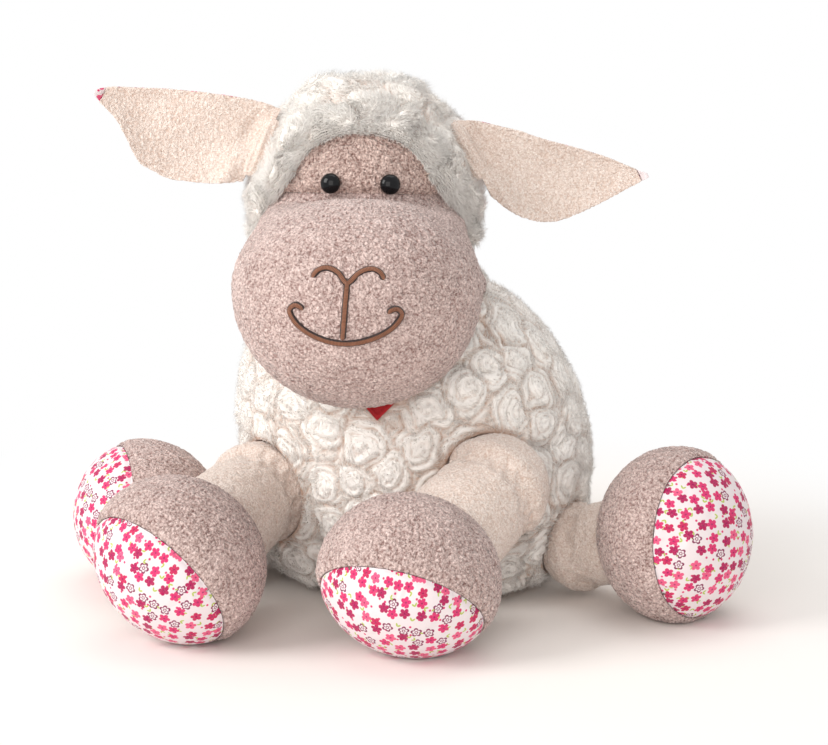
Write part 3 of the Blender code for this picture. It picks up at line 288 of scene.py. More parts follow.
@dataclass(frozen=True)
class PrintFinish:
    """White cotton with a small all-over print of five-petalled flowers, outlined flowers and sprigs.

    Attributes:
        name: Name of the material.
        cloth: Colour of the cotton.
        thread_shade: Colour of the painted shade between its threads.
        pitch: Distance between neighbouring flowers, in metres.
        flower: Radius of a flower, in pitches.
        edge: Width of a printed edge, in pitches.
        petals: Colours of the filled flowers.
        outline: Colour of the outlined flowers and of the hearts.
        leaf: Colour of the sprigs.
    """

    name: str
    cloth: Colour = tint(234, 224, 227)
    thread_shade: Colour = tint(226, 214, 210)
    pitch: float = 0.0071
    flower: float = 0.43
    edge: float = 0.035
    petals: tuple[Colour, ...] = (tint(176, 12, 86), tint(214, 42, 108),
                                  tint(230, 88, 132), tint(198, 26, 88))
    outline: Colour = tint(128, 20, 78)
    leaf: Colour = tint(176, 196, 84)

    def scattered(self, shader: Shader, pitch: float, shift: float) -> tuple[Value, Value, Value]:
        """Scattered points of the print.

        Args:
            shader: Shader that takes the nodes.
            pitch: Distance between neighbouring points, in metres.
            shift: Move of the layer, in pitches, so that layers don't line up.

        Returns:
            Distance to the nearest point in pitches, angle round it with a turn of its own, and a random
            number for it.
        """
        scaled = shader.vector("MULTIPLY", shader.cloth(), (1 / pitch, 1 / pitch, 0.0))
        place = shader.vector("ADD", scaled, (shift, shift * 0.7, 0.0))
        cells = shader.node("ShaderNodeTexVoronoi", {"voronoi_dimensions": "2D"},
                            {"Vector": place, "Scale": 1.0, "Randomness": 0.62})
        across, along = shader.split(shader.vector("SUBTRACT", place, cells.outputs["Position"]))
        chance = shader.node("ShaderNodeSeparateColor", None, {0: cells.outputs["Color"]})
        angle = across.math("ARCTAN2", along, across) + Value(shader, chance.outputs[0]) * 6.283
        return Value(shader, cells.outputs["Distance"]), angle, Value(shader, chance.outputs[1])

    def sprigs(self, shader: Shader, colour: Any) -> bpy.types.NodeSocket:
        """Pairs of small leaves over a colour."""
        reach, angle, chance = self.scattered(shader, self.pitch * 0.92, 3.37)
        for turn in (0.0, 1.25):
            swung = angle + turn
            along = reach * swung.wave("COSINE") - 0.17
            across = reach * swung.wave("SINE")
            body = (along / 0.19) ** 2.0 + (across / 0.08) ** 2.0
            leaf = ((1.0 - body) / 0.5).held() * (chance > 0.30)
            colour = shader.mix(leaf, colour, self.leaf)
        return colour

    def flowers(self, shader: Shader, colour: Any) -> bpy.types.NodeSocket:
        """Filled and outlined flowers over a colour."""
        reach, angle, chance = self.scattered(shader, self.pitch, 0.0)
        lobe = abs((angle * 2.5).wave("COSINE"))
        rim = (lobe ** 0.75 * 0.42 + 0.58) * self.flower

        def within(border: Any) -> Value:
            """One inside a border, else zero, with a soft edge."""
            return ((border - reach) / self.edge).held()

        first, second, third, fourth = self.petals
        stops = [(0.0, first), (0.26, second), (0.55, third), (0.72, fourth), (1.0, fourth)]
        ramp = shader.node("ShaderNodeValToRGB", {"stops": stops}, {0: chance})
        ramp.color_ramp.interpolation = "CONSTANT"
        open_one, heart = chance > 0.80, within(self.flower * 0.20)
        colour = shader.mix(within(rim), colour, shader.mix(open_one, ramp.outputs[0], self.outline))
        colour = shader.mix(within(rim * 0.68) * open_one, colour, self.cloth)
        colour = shader.mix(within(self.flower * 0.34) * open_one, colour, self.outline)
        colour = shader.mix(heart * open_one, colour, self.cloth)
        return shader.mix(heart * (1.0 - open_one) * 0.8, colour, self.outline)

    def build(self) -> bpy.types.Material:
        """Make the material: sprigs and buds first, then the flowers over them."""
        shader = Shader(self.name)
        colour = self.sprigs(shader, self.cloth)
        reach, _, chance = self.scattered(shader, self.pitch * 0.71, 7.91)
        bud = ((0.15 - reach) / (self.edge * 1.4)).held() * (chance > 0.50)
        colour = self.flowers(shader, shader.mix(bud, colour, self.petals[1]))
        place = shader.place()
        # Painted shade between the threads: fine noise mixes the print a little towards the thread shade
        # colour.
        threads = shader.noise(place, 0.0007, 1.0)
        shader.feed(shader.surface.inputs["Base Color"],
                    shader.mix((threads - 0.35).held() * 0.22, colour, self.thread_shade))
        shader.bump(threads * 0.4 + shader.noise(place, 0.006) * 1.2, 0.0004, 0.6)
        shader.set(roughness=0.82, sheen_weight=0.15, sheen_roughness=0.4, specular_ior_level=0.3)
        return shader.material


@dataclass(frozen=True)
class ThreadFinish:
    """Embroidery thread laid side by side across the line, with painted shade at its edges and between the
    threads.
    """

    name: str
    dark: Colour
    light: Colour
    thread: float

    def build(self) -> bpy.types.Material:
        """Make the material. The map holds metres along the line and its width from -1 to 1."""
        shader = Shader(self.name)
        along, across = shader.split(shader.cloth())
        rows = (along * (2 * math.pi / self.thread) + across * 1.3).wave("SINE") * 0.5 + 0.5
        drift = shader.noise(shader.place(), 0.003)
        middle = ((0.72 - abs(across)) / 0.22).held()
        # Painted shade and light: the edges and the grooves between threads take the dark colour, and the
        # threads' middles take the light one.
        shader.colour(middle * (0.62 + rows * 0.35) + (drift - 0.5) * 0.6 * middle, self.dark, self.light)
        shader.bump(rows, 0.0002, 0.7)
        shader.set(roughness=0.42, sheen_weight=0.2, specular_ior_level=0.5)
        return shader.material


@dataclass(frozen=True)
class WovenFinish:
    """Plain woven cloth of one colour, with painted shade and light over its threads and broad folds."""

    name: str
    shade: Colour
    lit: Colour
    thread: float = 0.0006

    def build(self) -> bpy.types.Material:
        """Make the material."""
        shader = Shader(self.name)
        place = shader.place()
        threads, folds = shader.noise(place, self.thread, 1.0), shader.noise(place, 0.009)
        # Painted shade and light: the thread and fold noise mix between the shade and lit colours.
        shader.colour(threads * 0.6 + folds * 0.6 - 0.1, self.shade, self.lit)
        shader.bump(threads + folds * 0.6, 0.0003, 0.6)
        shader.set(roughness=0.75, sheen_weight=0.2, sheen_roughness=0.4)
        return shader.material


@dataclass(frozen=True)
class MouldedFinish:
    """Moulded plastic with faint smears on its gloss."""

    name: str
    colour: Colour
    gloss: float

    def build(self) -> bpy.types.Material:
        """Make the material."""
        shader = Shader(self.name)
        smears = shader.noise(shader.place(), 0.0015)
        pale = (*(min(1.0, channel * 1.6 + 0.004) for channel in self.colour[:3]), 1.0)
        shader.feed(shader.surface.inputs["Base Color"], shader.mix(smears, self.colour, pale))
        shader.feed(shader.surface.inputs["Roughness"], self.gloss + smears * 0.05)
        shader.set(specular_ior_level=0.22)
        return shader.material


class Finish(Enum):
    """The toy's finishes, each made once."""

    # The plush deep colours are painted shade in the pile.
    CREAM_PLUSH = PlushFinish("cream_rosette_plush", tint(196, 162, 140), tint(255, 252, 248))
    # A lit copy of the body's plush for the hood: its lighter deep colour paints less shade into the hood's
    # pile.
    HOOD_PLUSH = PlushFinish("cream_plush_lit_hood", tint(226, 202, 188), tint(255, 252, 248))
    # The terry gap colours are painted shade between the loops.
    CREAM_TERRY = TerryFinish("cream_looped_terry", tint(206, 182, 168), tint(254, 245, 238), 0.0011, 0.0006)
    TAUPE_TERRY = TerryFinish("taupe_looped_terry", tint(132, 102, 96), tint(252, 230, 224), 0.0014, 0.0010)
    # A shaded copy of the muzzle's taupe terry for the forehead under the hood: darker painted shade in its
    # gaps, and a slightly deeper relief.
    BROW_TERRY = TerryFinish("taupe_terry_shaded_brow", tint(118, 86, 78), tint(255, 230, 220),
                             0.0014, 0.0011)
    FLORAL = PrintFinish("floral_print")
    # The stitch's dark colour is its painted shade, and the light colour is its painted lit threads.
    THREAD = ThreadFinish("satin_stitch", tint(34, 12, 8), tint(146, 94, 66), 0.0007)
    RED_CLOTH = WovenFinish("red_weave", tint(132, 8, 18), tint(204, 16, 30))
    EYE = MouldedFinish("moulded_black", tint(6, 6, 9), 0.05)
    WASHER = MouldedFinish("moulded_white", tint(214, 212, 206), 0.3)
    FILLING = WovenFinish("wadding", tint(214, 212, 206), tint(240, 239, 236), 0.002)

    def material(self) -> bpy.types.Material:
        """The finish's one material."""
        return bpy.data.materials.get(self.value.name) or self.value.build()


# Surfaces

def unit(vectors: Array) -> Array:
    """Vectors of length one."""
    return vectors / np.maximum(np.linalg.norm(vectors, axis=-1, keepdims=True), 1e-12)


def ease(low: float, high: float, values: Array) -> Array:
    """Smooth step: 0 below low, 1 above high, and three t squared less two t cubed between them."""
    t = np.clip((values - low) / (high - low), 0.0, 1.0)
    return t * t * (3 - 2 * t)


def rounded(values: Array, power: float) -> Array:
    """Values raised to a power with their signs kept, which squares or pinches a circle."""
    return np.sign(values) * np.abs(values) ** power


def circle(count: int) -> Array:
    """Turns of evenly spaced points round a full circle."""
    return np.linspace(0, 2 * math.pi, count, endpoint=False)


def lathed(radii: Array, heights: Array, turns: Array) -> Array:
    """Rings round the Z axis."""
    parts = (radii[:, None] * np.cos(turns), radii[:, None] * np.sin(turns), heights[:, None])
    return np.stack(np.broadcast_arrays(*parts), axis=-1)


def spot(x: float, y: float, z: float) -> Any:
    """Place as the default of a dataclass field."""
    return field(default_factory=lambda: np.array((x, y, z)))


def turned_to(direction: Any) -> Array:
    """Rotation that carries local Z to a direction and keeps local X level."""
    along = Vector(direction).normalized()
    side = Vector(UP).cross(along).normalized()
    return np.array(Matrix((side, along.cross(side), along)).transposed())


def smooth_table(table: Table | Array, where: Array) -> Array:
    """Value of a table on monotone cubics: each stretch is a Hermite cubic with harmonic-mean slopes.

    Args:
        table: Rows of place and value.
        where: Places to read.

    Returns:
        Values at those places.
    """
    rows = np.array(table, float)
    xs, ys = rows[:, 0], rows[:, 1]
    slopes = np.diff(ys) / np.diff(xs)
    same_way = slopes[:-1] * slopes[1:] > 0
    harmonic = 2 * slopes[:-1] * slopes[1:] / np.where(same_way, slopes[:-1] + slopes[1:], 1)
    tangents = np.concatenate((slopes[:1], np.where(same_way, harmonic, 0), slopes[-1:]))
    where = np.clip(np.asarray(where, float), xs[0], xs[-1])
    left = np.clip(np.searchsorted(xs, where, side="right") - 1, 0, len(xs) - 2)
    span = xs[left + 1] - xs[left]
    t = (where - xs[left]) / span
    rise = (2 * t**3 - 3 * t**2 + 1) * ys[left] + (3 * t**2 - 2 * t**3) * ys[left + 1]
    return rise + span * ((t**3 - 2 * t**2 + t) * tangents[left] + (t**3 - t**2) * tangents[left + 1])


@dataclass(frozen=True)
class LatticeNoise:
    """Smooth noise from seeded numbers on a lattice, blended by the quintic ease."""

    seed: int
    side: int = 32

    def at(self, points: Array, size: float) -> Array:
        """Noise from 0 to 1 at points, with lumps of a size in metres."""
        numbers = np.random.default_rng(self.seed).random((self.side,) * 3)
        place = points / size + 500.0
        cell = np.floor(place).astype(int)
        t = place - cell
        t = t**3 * (t * (t * 6 - 15) + 10)
        total = np.zeros(points.shape[:-1])
        for corner in itertools.product((0, 1), repeat=3):
            share = np.prod(np.where(corner, t, 1 - t), axis=-1)
            index = (cell + corner) % self.side
            total += share * numbers[index[..., 0], index[..., 1], index[..., 2]]
        return total

    def ridge(self, points: Array, size: float) -> Array:
        """One along the winding lines where the noise crosses its middle, falling to 0 beside them."""
        return np.clip(1 - 3.2 * np.abs(self.at(points, size) - 0.5), 0, 1)


def disc_grid(count: int) -> tuple[Array, Array]:
    """Square grid carried onto the unit disc, so that its cells stay nearly equal.

    Each square ring becomes a circle: the larger of the two places is the radius, and the smaller over it,
    times an eighth of a turn, is the angle from that side's middle.

    Args:
        count: Points along each side.

    Returns:
        Radius share and turn in radians of each point.
    """
    line = np.linspace(-1.0, 1.0, count)
    u, v = np.meshgrid(line, line, indexing="ij")
    sideways = np.abs(u) > np.abs(v)
    reach = np.where(sideways, u, v)
    ratio = np.where(sideways, v, u) / np.where(reach == 0, 1, reach)
    turn = np.where(sideways, ratio * math.pi / 4, math.pi / 2 - ratio * math.pi / 4)
    across, along = reach * np.cos(turn), reach * np.sin(turn)
    return np.hypot(across, along), np.arctan2(along, across) % (2 * math.pi)


def fan(axis: Array, falls: Array, turns: Array, up: Array = UP) -> Array:
    """Unit directions at angles from an axis, turned round it from the up direction."""
    side = unit(np.cross(up, axis))
    top = np.cross(axis, side)
    falls, turns = np.broadcast_arrays(falls, turns)
    round_it = np.cos(turns)[..., None] * top - np.sin(turns)[..., None] * side
    return np.cos(falls)[..., None] * axis + np.sin(falls)[..., None] * round_it


def cubic_weights(fine: int, coarse: int, wrap: bool) -> Array:
    """Matrix that carries values on a coarse row of points to a finer row along Catmull-Rom cubics."""
    place = np.linspace(0, coarse if wrap else coarse - 1, fine, endpoint=not wrap)
    left = np.floor(place).astype(int) if wrap else np.minimum(np.floor(place).astype(int), coarse - 2)
    t = place - left
    shares = (-t / 2 + t**2 - t**3 / 2, 1 - 2.5 * t**2 + 1.5 * t**3,
              t / 2 + 2 * t**2 - 1.5 * t**3, (t**3 - t**2) / 2)
    matrix = np.zeros((fine, coarse))
    for step, share in zip((-1, 0, 1, 2), shares):
        index = (left + step) % coarse if wrap else np.clip(left + step, 0, coarse - 1)
        np.add.at(matrix, (np.arange(fine), index), share)
    return matrix


def refined(grid: Array, rows: int, cols: int, wrap: bool = False) -> Array:
    """A grid of vectors on more rows and columns, along smooth cubics."""
    down = cubic_weights(rows, grid.shape[0], False)
    over = cubic_weights(cols, grid.shape[1], wrap)
    return np.einsum("ij,jkc,lk->ilc", down, grid, over)


def grid_normals(points: Array, inner: Array, wrap: bool = False) -> Array:
    """Unit normals of a grid, from the cross product of its steps, facing away from an inner point."""
    down = np.gradient(points, axis=0)
    if wrap:
        over = (np.roll(points, -1, axis=1) - np.roll(points, 1, axis=1)) / 2
    else:
        over = np.gradient(points, axis=1)
    normals = unit(np.cross(over, down))
    outward = np.sum(normals * unit(points - inner)) >= 0
    return normals if outward else -normals


def grid_faces(rows: int, cols: int, wrap: bool) -> Array:
    """Corner numbers of a grid's quads, round the seam as well when it wraps."""
    row = np.arange(rows - 1)[:, None]
    col = np.arange(cols if wrap else cols - 1)[None, :]
    after = (col + 1) % cols
    corners = (row * cols + col, row * cols + after, (row + 1) * cols + after, (row + 1) * cols + col)
    return np.stack(np.broadcast_arrays(*corners), axis=-1).reshape(-1, 4)


def rim_of(count: int) -> Array:
    """Numbers of a square grid's outer points, in order round it."""
    line = np.arange(count)
    sides = (line[:-1], line[:-1] * count + count - 1, (count - 1) * count + line[:0:-1], line[:0:-1] * count)
    return np.concatenate(sides)


@dataclass
class Skin:
    """Points, faces and maps of one closed piece, before it becomes a mesh."""

    points: Array
    faces: list[Array]
    pile: Array
    cloth: Array

    @classmethod
    def patch(cls, points: Array, normals: Array, pile: Array, thickness: float, inner: Array,
              cloth: Array | None = None) -> "Skin":
        """Close a square grid: its rim turns in by a thickness and runs to an inner point.

        Args:
            points: Square grid of places.
            normals: Outward normals.
            pile: Height share of the pile at each.
            thickness: How far the rim turns in against the normals.
            inner: Point inside the piece where it closes.
            cloth: Place on the cloth at each, for a finish that reads it.

        Returns:
            The closed skin.
        """
        count = points.shape[0]
        rim = rim_of(count)
        turned_in = count * count + np.arange(len(rim))
        halfway = turned_in + len(rim)
        tucked = points.reshape(-1, 3)[rim] - normals.reshape(-1, 3)[rim] * thickness
        bands = [np.stack((outer, np.roll(outer, -1), np.roll(further, -1), further), axis=-1)
                 for outer, further in ((rim, turned_in), (turned_in, halfway))]
        pole = np.full(len(rim), halfway[-1] + 1)
        last = np.stack((halfway, np.roll(halfway, -1), pole), axis=-1)
        extra = 2 * len(rim) + 1
        cloth = np.zeros((count, count, 2)) if cloth is None else cloth
        return cls(np.vstack((points.reshape(-1, 3), tucked, (tucked + inner) / 2, inner)),
                   [grid_faces(count, count, False), *bands, last],
                   np.concatenate((pile.ravel(), np.zeros(extra))),
                   np.vstack((cloth.reshape(-1, 2), np.zeros((extra, 2)))))

    @classmethod
    def tube(cls, points: Array, pile: Any = 0.0, cloth: Array | None = None,
             poles: tuple[Array, Array] | None = None) -> "Skin":
        """Close a grid that wraps round by a pole at either end.

        Args:
            points: Rings of places.
            pile: Height share of the pile, one for all places or one for each.
            cloth: Place on the cloth at each, for a finish that reads it.
            poles: First and last pole, or nothing for the middles of the end rings.

        Returns:
            The closed skin.
        """
        rows, cols = points.shape[:2]
        first, last = poles or (points[0].mean(axis=0), points[-1].mean(axis=0))
        cloth = np.zeros((rows, cols, 2)) if cloth is None else cloth
        caps = [np.stack((ring, np.roll(ring, -1), np.full(cols, pole)), axis=-1)
                for ring, pole in ((np.arange(cols), rows * cols),
                                   ((rows - 1) * cols + np.arange(cols), rows * cols + 1))]
        return cls(np.vstack((points.reshape(-1, 3), first, last)), [grid_faces(rows, cols, True), *caps],
                   np.concatenate((np.broadcast_to(pile, (rows, cols)).ravel(), (0.0, 0.0))),
                   np.vstack((cloth.reshape(-1, 2), np.zeros((2, 2)))))

    @classmethod
    def joined(cls, skins: list["Skin"]) -> "Skin":
        """Several closed skins as one."""
        starts = np.cumsum([0] + [len(skin.points) for skin in skins])
        return cls(np.vstack([skin.points for skin in skins]),
                   [faces + start for skin, start in zip(skins, starts) for faces in skin.faces],
                   np.concatenate([skin.pile for skin in skins]), np.vstack([skin.cloth for skin in skins]))

    def piece(self, name: str, body: str, finish: Finish, replaces: tuple[str, ...] = (),
              slot: str | None = None, fill: float | None = None) -> bpy.types.Object:
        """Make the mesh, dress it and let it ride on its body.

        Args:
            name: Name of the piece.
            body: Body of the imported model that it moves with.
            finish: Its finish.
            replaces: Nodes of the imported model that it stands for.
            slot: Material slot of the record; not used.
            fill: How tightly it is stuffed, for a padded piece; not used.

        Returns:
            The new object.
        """
        mesh = bpy.data.meshes.new(name)
        self.points[:, 2] = np.maximum(self.points[:, 2], FLOOR_GAP)
        mesh.from_pydata(self.points.tolist(), [], [face for group in self.faces for face in group.tolist()])
        if signed_volume(self.points, self.faces) < 0:
            mesh.flip_normals()
        corner = np.zeros(len(mesh.loops), dtype=np.int32)
        mesh.loops.foreach_get("vertex_index", corner)
        cloth = self.cloth[corner].astype(np.float32)
        mesh.uv_layers.new(name="cloth").data.foreach_set("uv", cloth.ravel())
        kept = mesh.attributes.new("pile", "FLOAT", "POINT")
        kept.data.foreach_set("value", self.pile.astype(np.float32))
        mesh.shade_smooth()
        mesh.materials.append(finish.material())
        made = added(name, mesh)
        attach(made, body)
        if replaces:
            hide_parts(*replaces)
        LOG.info("%s: %d triangles on %s", name, sum(len(p.vertices) - 2 for p in mesh.polygons), body)
        return made


def added(name: str, data: Any) -> bpy.types.Object:
    """Object with its data, linked to the scene."""
    made = bpy.data.objects.new(name, data)
    bpy.context.scene.collection.objects.link(made)
    return made


def signed_volume(points: Array, groups: list[Array]) -> float:
    """Volume inside closed faces: a sixth of the sum of triple products, negative when they face inwards."""
    total = 0.0
    for faces in groups:
        for second in range(1, faces.shape[1] - 1):
            a, b, c = points[faces[:, 0]], points[faces[:, second]], points[faces[:, second + 1]]
            total += float(np.sum(a * np.cross(b, c)))
    return total / 6


@dataclass(frozen=True)
class StarRegion:
    """Part of a surface that every ray from an inner point meets once, out to a border.

    Attributes:
        axis: Direction from the inner point to the region's middle.
        surface: Gives the points that unit directions meet.
        inside: Says which points belong to the region.
        up: Direction from which turns are counted.
        widest: Largest angle from the axis.
    """

    axis: Array
    surface: Callable[[Array], Array]
    inside: Callable[[Array], Array]
    up: Array = field(default_factory=lambda: UP)
    widest: float = 3.05

    def extents(self, turns: Array) -> Array:
        """Angle from the axis at which the region ends for each turn: a march, then halving of the step."""
        falls = np.linspace(0.02, self.widest, 64)
        held = self.inside(self.surface(fan(self.axis, falls[:, None], turns[None, :], self.up)))
        first = np.where(held.all(axis=0), len(falls) - 1, np.argmin(held, axis=0))
        low, high = falls[np.maximum(first - 1, 0)], falls[first]
        for _ in range(12):
            middle = (low + high) / 2
            held = self.inside(self.surface(fan(self.axis, middle, turns, self.up)))
            low, high = np.where(held, middle, low), np.where(held, high, middle)
        return low

    def grid(self, count: int) -> tuple[Array, Array]:
        """Points of the region on a square grid, evenly spaced along each turn, and their flat places.

        The way over the surface is measured along each turn, and the angles are then read where that way has
        grown by equal steps.

        Args:
            count: Points along each side of the grid.

        Returns:
            Places, and the way from the middle as a radius with its turn, for use as a map in metres.
        """
        share, turn = disc_grid(count)
        turns, even = np.linspace(0, 2 * math.pi, 181), np.linspace(0, 1, 65)
        falls = even[:, None] * self.extents(turns)
        steps = np.diff(self.surface(fan(self.axis, falls, turns, self.up)), axis=0)
        way = np.vstack((np.zeros(len(turns)), np.cumsum(np.linalg.norm(steps, axis=-1), axis=0)))
        angles = np.column_stack([np.interp(even, one_way / one_way[-1], fall)
                                  for one_way, fall in zip(way.T, falls.T)])
        fall = self.read(angles, share, turn)
        length = share * np.interp(turn, turns, way[-1])
        flat = np.stack((length * np.cos(turn), length * np.sin(turn)), axis=-1)
        return self.surface(fan(self.axis, fall, turn, self.up)), flat

    @staticmethod
    def read(table: Array, share: Array, turn: Array) -> Array:
        """Values of a table with rows over 0 to 1 and columns over a full turn, blended between them."""
        last_row, last_col = table.shape[0] - 1, table.shape[1] - 1
        row, col = np.clip(share, 0, 1) * last_row, turn / (2 * math.pi) * last_col
        low, left = np.minimum(row.astype(int), last_row - 1), np.minimum(col.astype(int), last_col - 1)
        down, over = row - low, col - left
        first = table[low, left] * (1 - over) + table[low, left + 1] * over
        second = table[low + 1, left] * (1 - over) + table[low + 1, left + 1] * over
        return first * (1 - down) + second * down


@dataclass(frozen=True)
class Stuffing:
    """Cloth simulation that swells a cover between the points where it is sewn down.

    Attributes:
        pressure: Pressure of the filling.
        slack: Share by which the cloth is larger than its form, which makes it pucker at the seams.
        cap: Most that a point may move, in metres.
        frames: Steps of the simulation.
    """

    pressure: float
    slack: float
    cap: float
    frames: int = 16

    def swell(self, points: Array, held: Array, wrap: bool) -> Array:
        """Moves of a coarse grid's points.

        Args:
            points: Grid of places.
            held: Which of them are sewn down.
            wrap: Whether the grid's columns close round.

        Returns:
            Move of each point, at most the cap.
        """
        rows, cols = points.shape[:2]
        mesh = bpy.data.meshes.new("stuffing")
        mesh.from_pydata(points.reshape(-1, 3).tolist(), [], grid_faces(rows, cols, wrap).tolist())
        cover = added("stuffing", mesh)
        sewn = cover.vertex_groups.new(name="sewn")
        sewn.add([int(i) for i in np.flatnonzero(held.ravel())], 1.0, "REPLACE")
        cloth = cover.modifiers.new("cloth", "CLOTH")
        settings = {"vertex_group_mass": "sewn", "quality": 6, "mass": 0.15, "tension_stiffness": 12,
                    "compression_stiffness": 12, "shear_stiffness": 6, "bending_stiffness": 0.3,
                    "shrink_min": -self.slack, "use_pressure": True, "uniform_pressure_force": self.pressure}
        for key, value in settings.items():
            setattr(cloth.settings, key, value)
        cloth.settings.effector_weights.gravity = 0.0
        cloth.collision_settings.use_collision = False
        cloth.collision_settings.use_self_collision = False
        cloth.point_cache.frame_start = 1
        cloth.point_cache.frame_end = self.frames
        for frame_number in range(1, self.frames + 1):
            bpy.context.scene.frame_set(frame_number)
        evaluated = cover.evaluated_get(bpy.context.evaluated_depsgraph_get())
        moved = np.zeros(rows * cols * 3)
        evaluated.data.vertices.foreach_get("co", moved)
        bpy.context.scene.frame_set(1)
        bpy.data.objects.remove(cover)
        shift = moved.reshape(rows, cols, 3) - points
        far = np.linalg.norm(shift, axis=-1, keepdims=True)
        return shift * np.minimum(1.0, self.cap / np.maximum(far, 1e-9))


# Pile of the two fabrics

@dataclass(frozen=True)
class TerryPile:
    """Loops of terry: two sizes of winding ridges, thicker in some patches than in others.

    Attributes:
        loop: Size of the larger ridges, in metres.
        seed: Start of the random numbers.
    """

    loop: float = 0.0021
    seed: int = 3
    patch: float = 0.012

    def share(self, points: Array) -> Array:
        """Height share of the pile, from 0 in a gap to 1 on a loop."""
        large = LatticeNoise(self.seed).ridge(points, self.loop)
        small = LatticeNoise(self.seed + 1).ridge(points, self.loop * 0.55)
        broad = LatticeNoise(self.seed + 2).at(points, self.patch)
        return np.clip(0.62 * large + 0.38 * small, 0, 1) * (0.8 + 0.4 * broad)


@dataclass(frozen=True)
class RosettePile:
    """Plush whose pile lies in spiral rosettes that touch each other.

    Attributes:
        pitch: Distance between neighbouring rosettes.
        ring: Width of one turn of the spiral.
        height: Height of the spiral's ridges.
        dome: How far a rosette's middle stands over its border.
        stir: How much the rings wander, in metres.
        seed: Start of the random numbers.
        bud: Height of the small bud in a rosette's middle.
        darts: How many places are tried for the rosettes' middles.
        batch: Points that are worked on at once, to save memory.
    """

    pitch: float = 0.022
    ring: float = 0.0043
    height: float = 0.0021
    dome: float = 0.0008
    stir: float = 0.0017
    seed: int = 11
    bud: float = 0.0007
    darts: int = 5000
    batch: int = 20000

    def centres(self, points: Array) -> Array:
        """Numbers of the points that are rosettes' middles, thrown like darts that keep their distance."""
        thrown = np.random.default_rng(self.seed).permutation(len(points))[:self.darts]
        kept: list[int] = []
        for number in thrown:
            away = np.linalg.norm(points[kept] - points[number], axis=1) if kept else np.array([1.0])
            if away.min() > self.pitch * 0.80:
                kept.append(int(number))
        return np.array(kept)

    def nearest(self, points: Array, middles: Array) -> tuple[Array, Array, Array]:
        """Number of each point's nearest middle, and the distances to the nearest and to the next one."""
        near, apart = np.zeros(len(points), int), np.zeros((len(points), 2))
        for start in range(0, len(points), self.batch):
            part = slice(start, start + self.batch)
            away = np.linalg.norm(points[part, None, :] - middles, axis=-1)
            near[part] = np.argmin(away, axis=1)
            apart[part] = np.partition(away, 1, axis=1)[:, :2]
        return near, apart[:, 0], apart[:, 1]

    def lay(self, points: Array, normals: Array) -> tuple[Array, Array, Array]:
        """Spiral relief over a surface.

        The phase of a point grows by one for each ring's width from its rosette's middle and by one for each
        turn round it, so its ridge is a spiral. A sine of the phase's fraction gives rounded ridges with
        sharp valleys, and the border between rosettes sinks.

        Args:
            points: Places on the surface.
            normals: Outward directions there.

        Returns:
            Height over the surface, place along and across the swirl, and direction of the hairs.
        """
        shape = points.shape[:-1]
        points, normals = points.reshape(-1, 3), normals.reshape(-1, 3)
        wander = np.stack([LatticeNoise(self.seed + k).at(points, 0.009) - 0.5 for k in (1, 2, 3)], axis=-1)
        stirred = points + wander * self.stir * 4
        middles = self.centres(points)
        near, reach, next_reach = self.nearest(stirred, points[middles])
        chance = np.random.default_rng(self.seed + 9).random((len(middles), 2))[near]
        outward = normals[middles][near]
        first = unit(np.cross(outward, (0.31, 0.42, 0.85)))
        second = np.cross(outward, first)
        away = stirred - points[middles][near]
        x, y = np.sum(away * first, axis=1), np.sum(away * second, axis=1)
        turn = np.arctan2(y, x)
        hand = np.where(chance[:, 0] < 0.5, 1.0, -1.0)
        width = self.ring * (0.85 + 0.3 * chance[:, 1])
        phase = reach / width + hand * turn / (2 * math.pi) + chance[:, 1]
        ridge = np.sin(math.pi * (phase % 1.0)) ** 0.75
        border = ease(0.0, 0.26, (next_reach - reach) / self.pitch)
        crowd = 0.75 + 0.5 * LatticeNoise(self.seed + 5).at(points, 0.016)
        swell = self.dome * border * np.clip(1 - (reach / (0.75 * self.pitch)) ** 2, 0, 1)
        bud = self.bud * np.exp(-((reach / (0.2 * self.pitch)) ** 2))
        height = self.height * ridge * (0.62 + 0.38 * border) * crowd + swell + bud
        radial = unit(x[:, None] * first + y[:, None] * second)
        flow = unit(hand[:, None] * np.cross(outward, radial) + 0.45 * radial)
        swirl = np.stack((turn * 0.006, reach), axis=-1)
        return height.reshape(shape), swirl.reshape(*shape, 2), flow.reshape(*shape, 3)


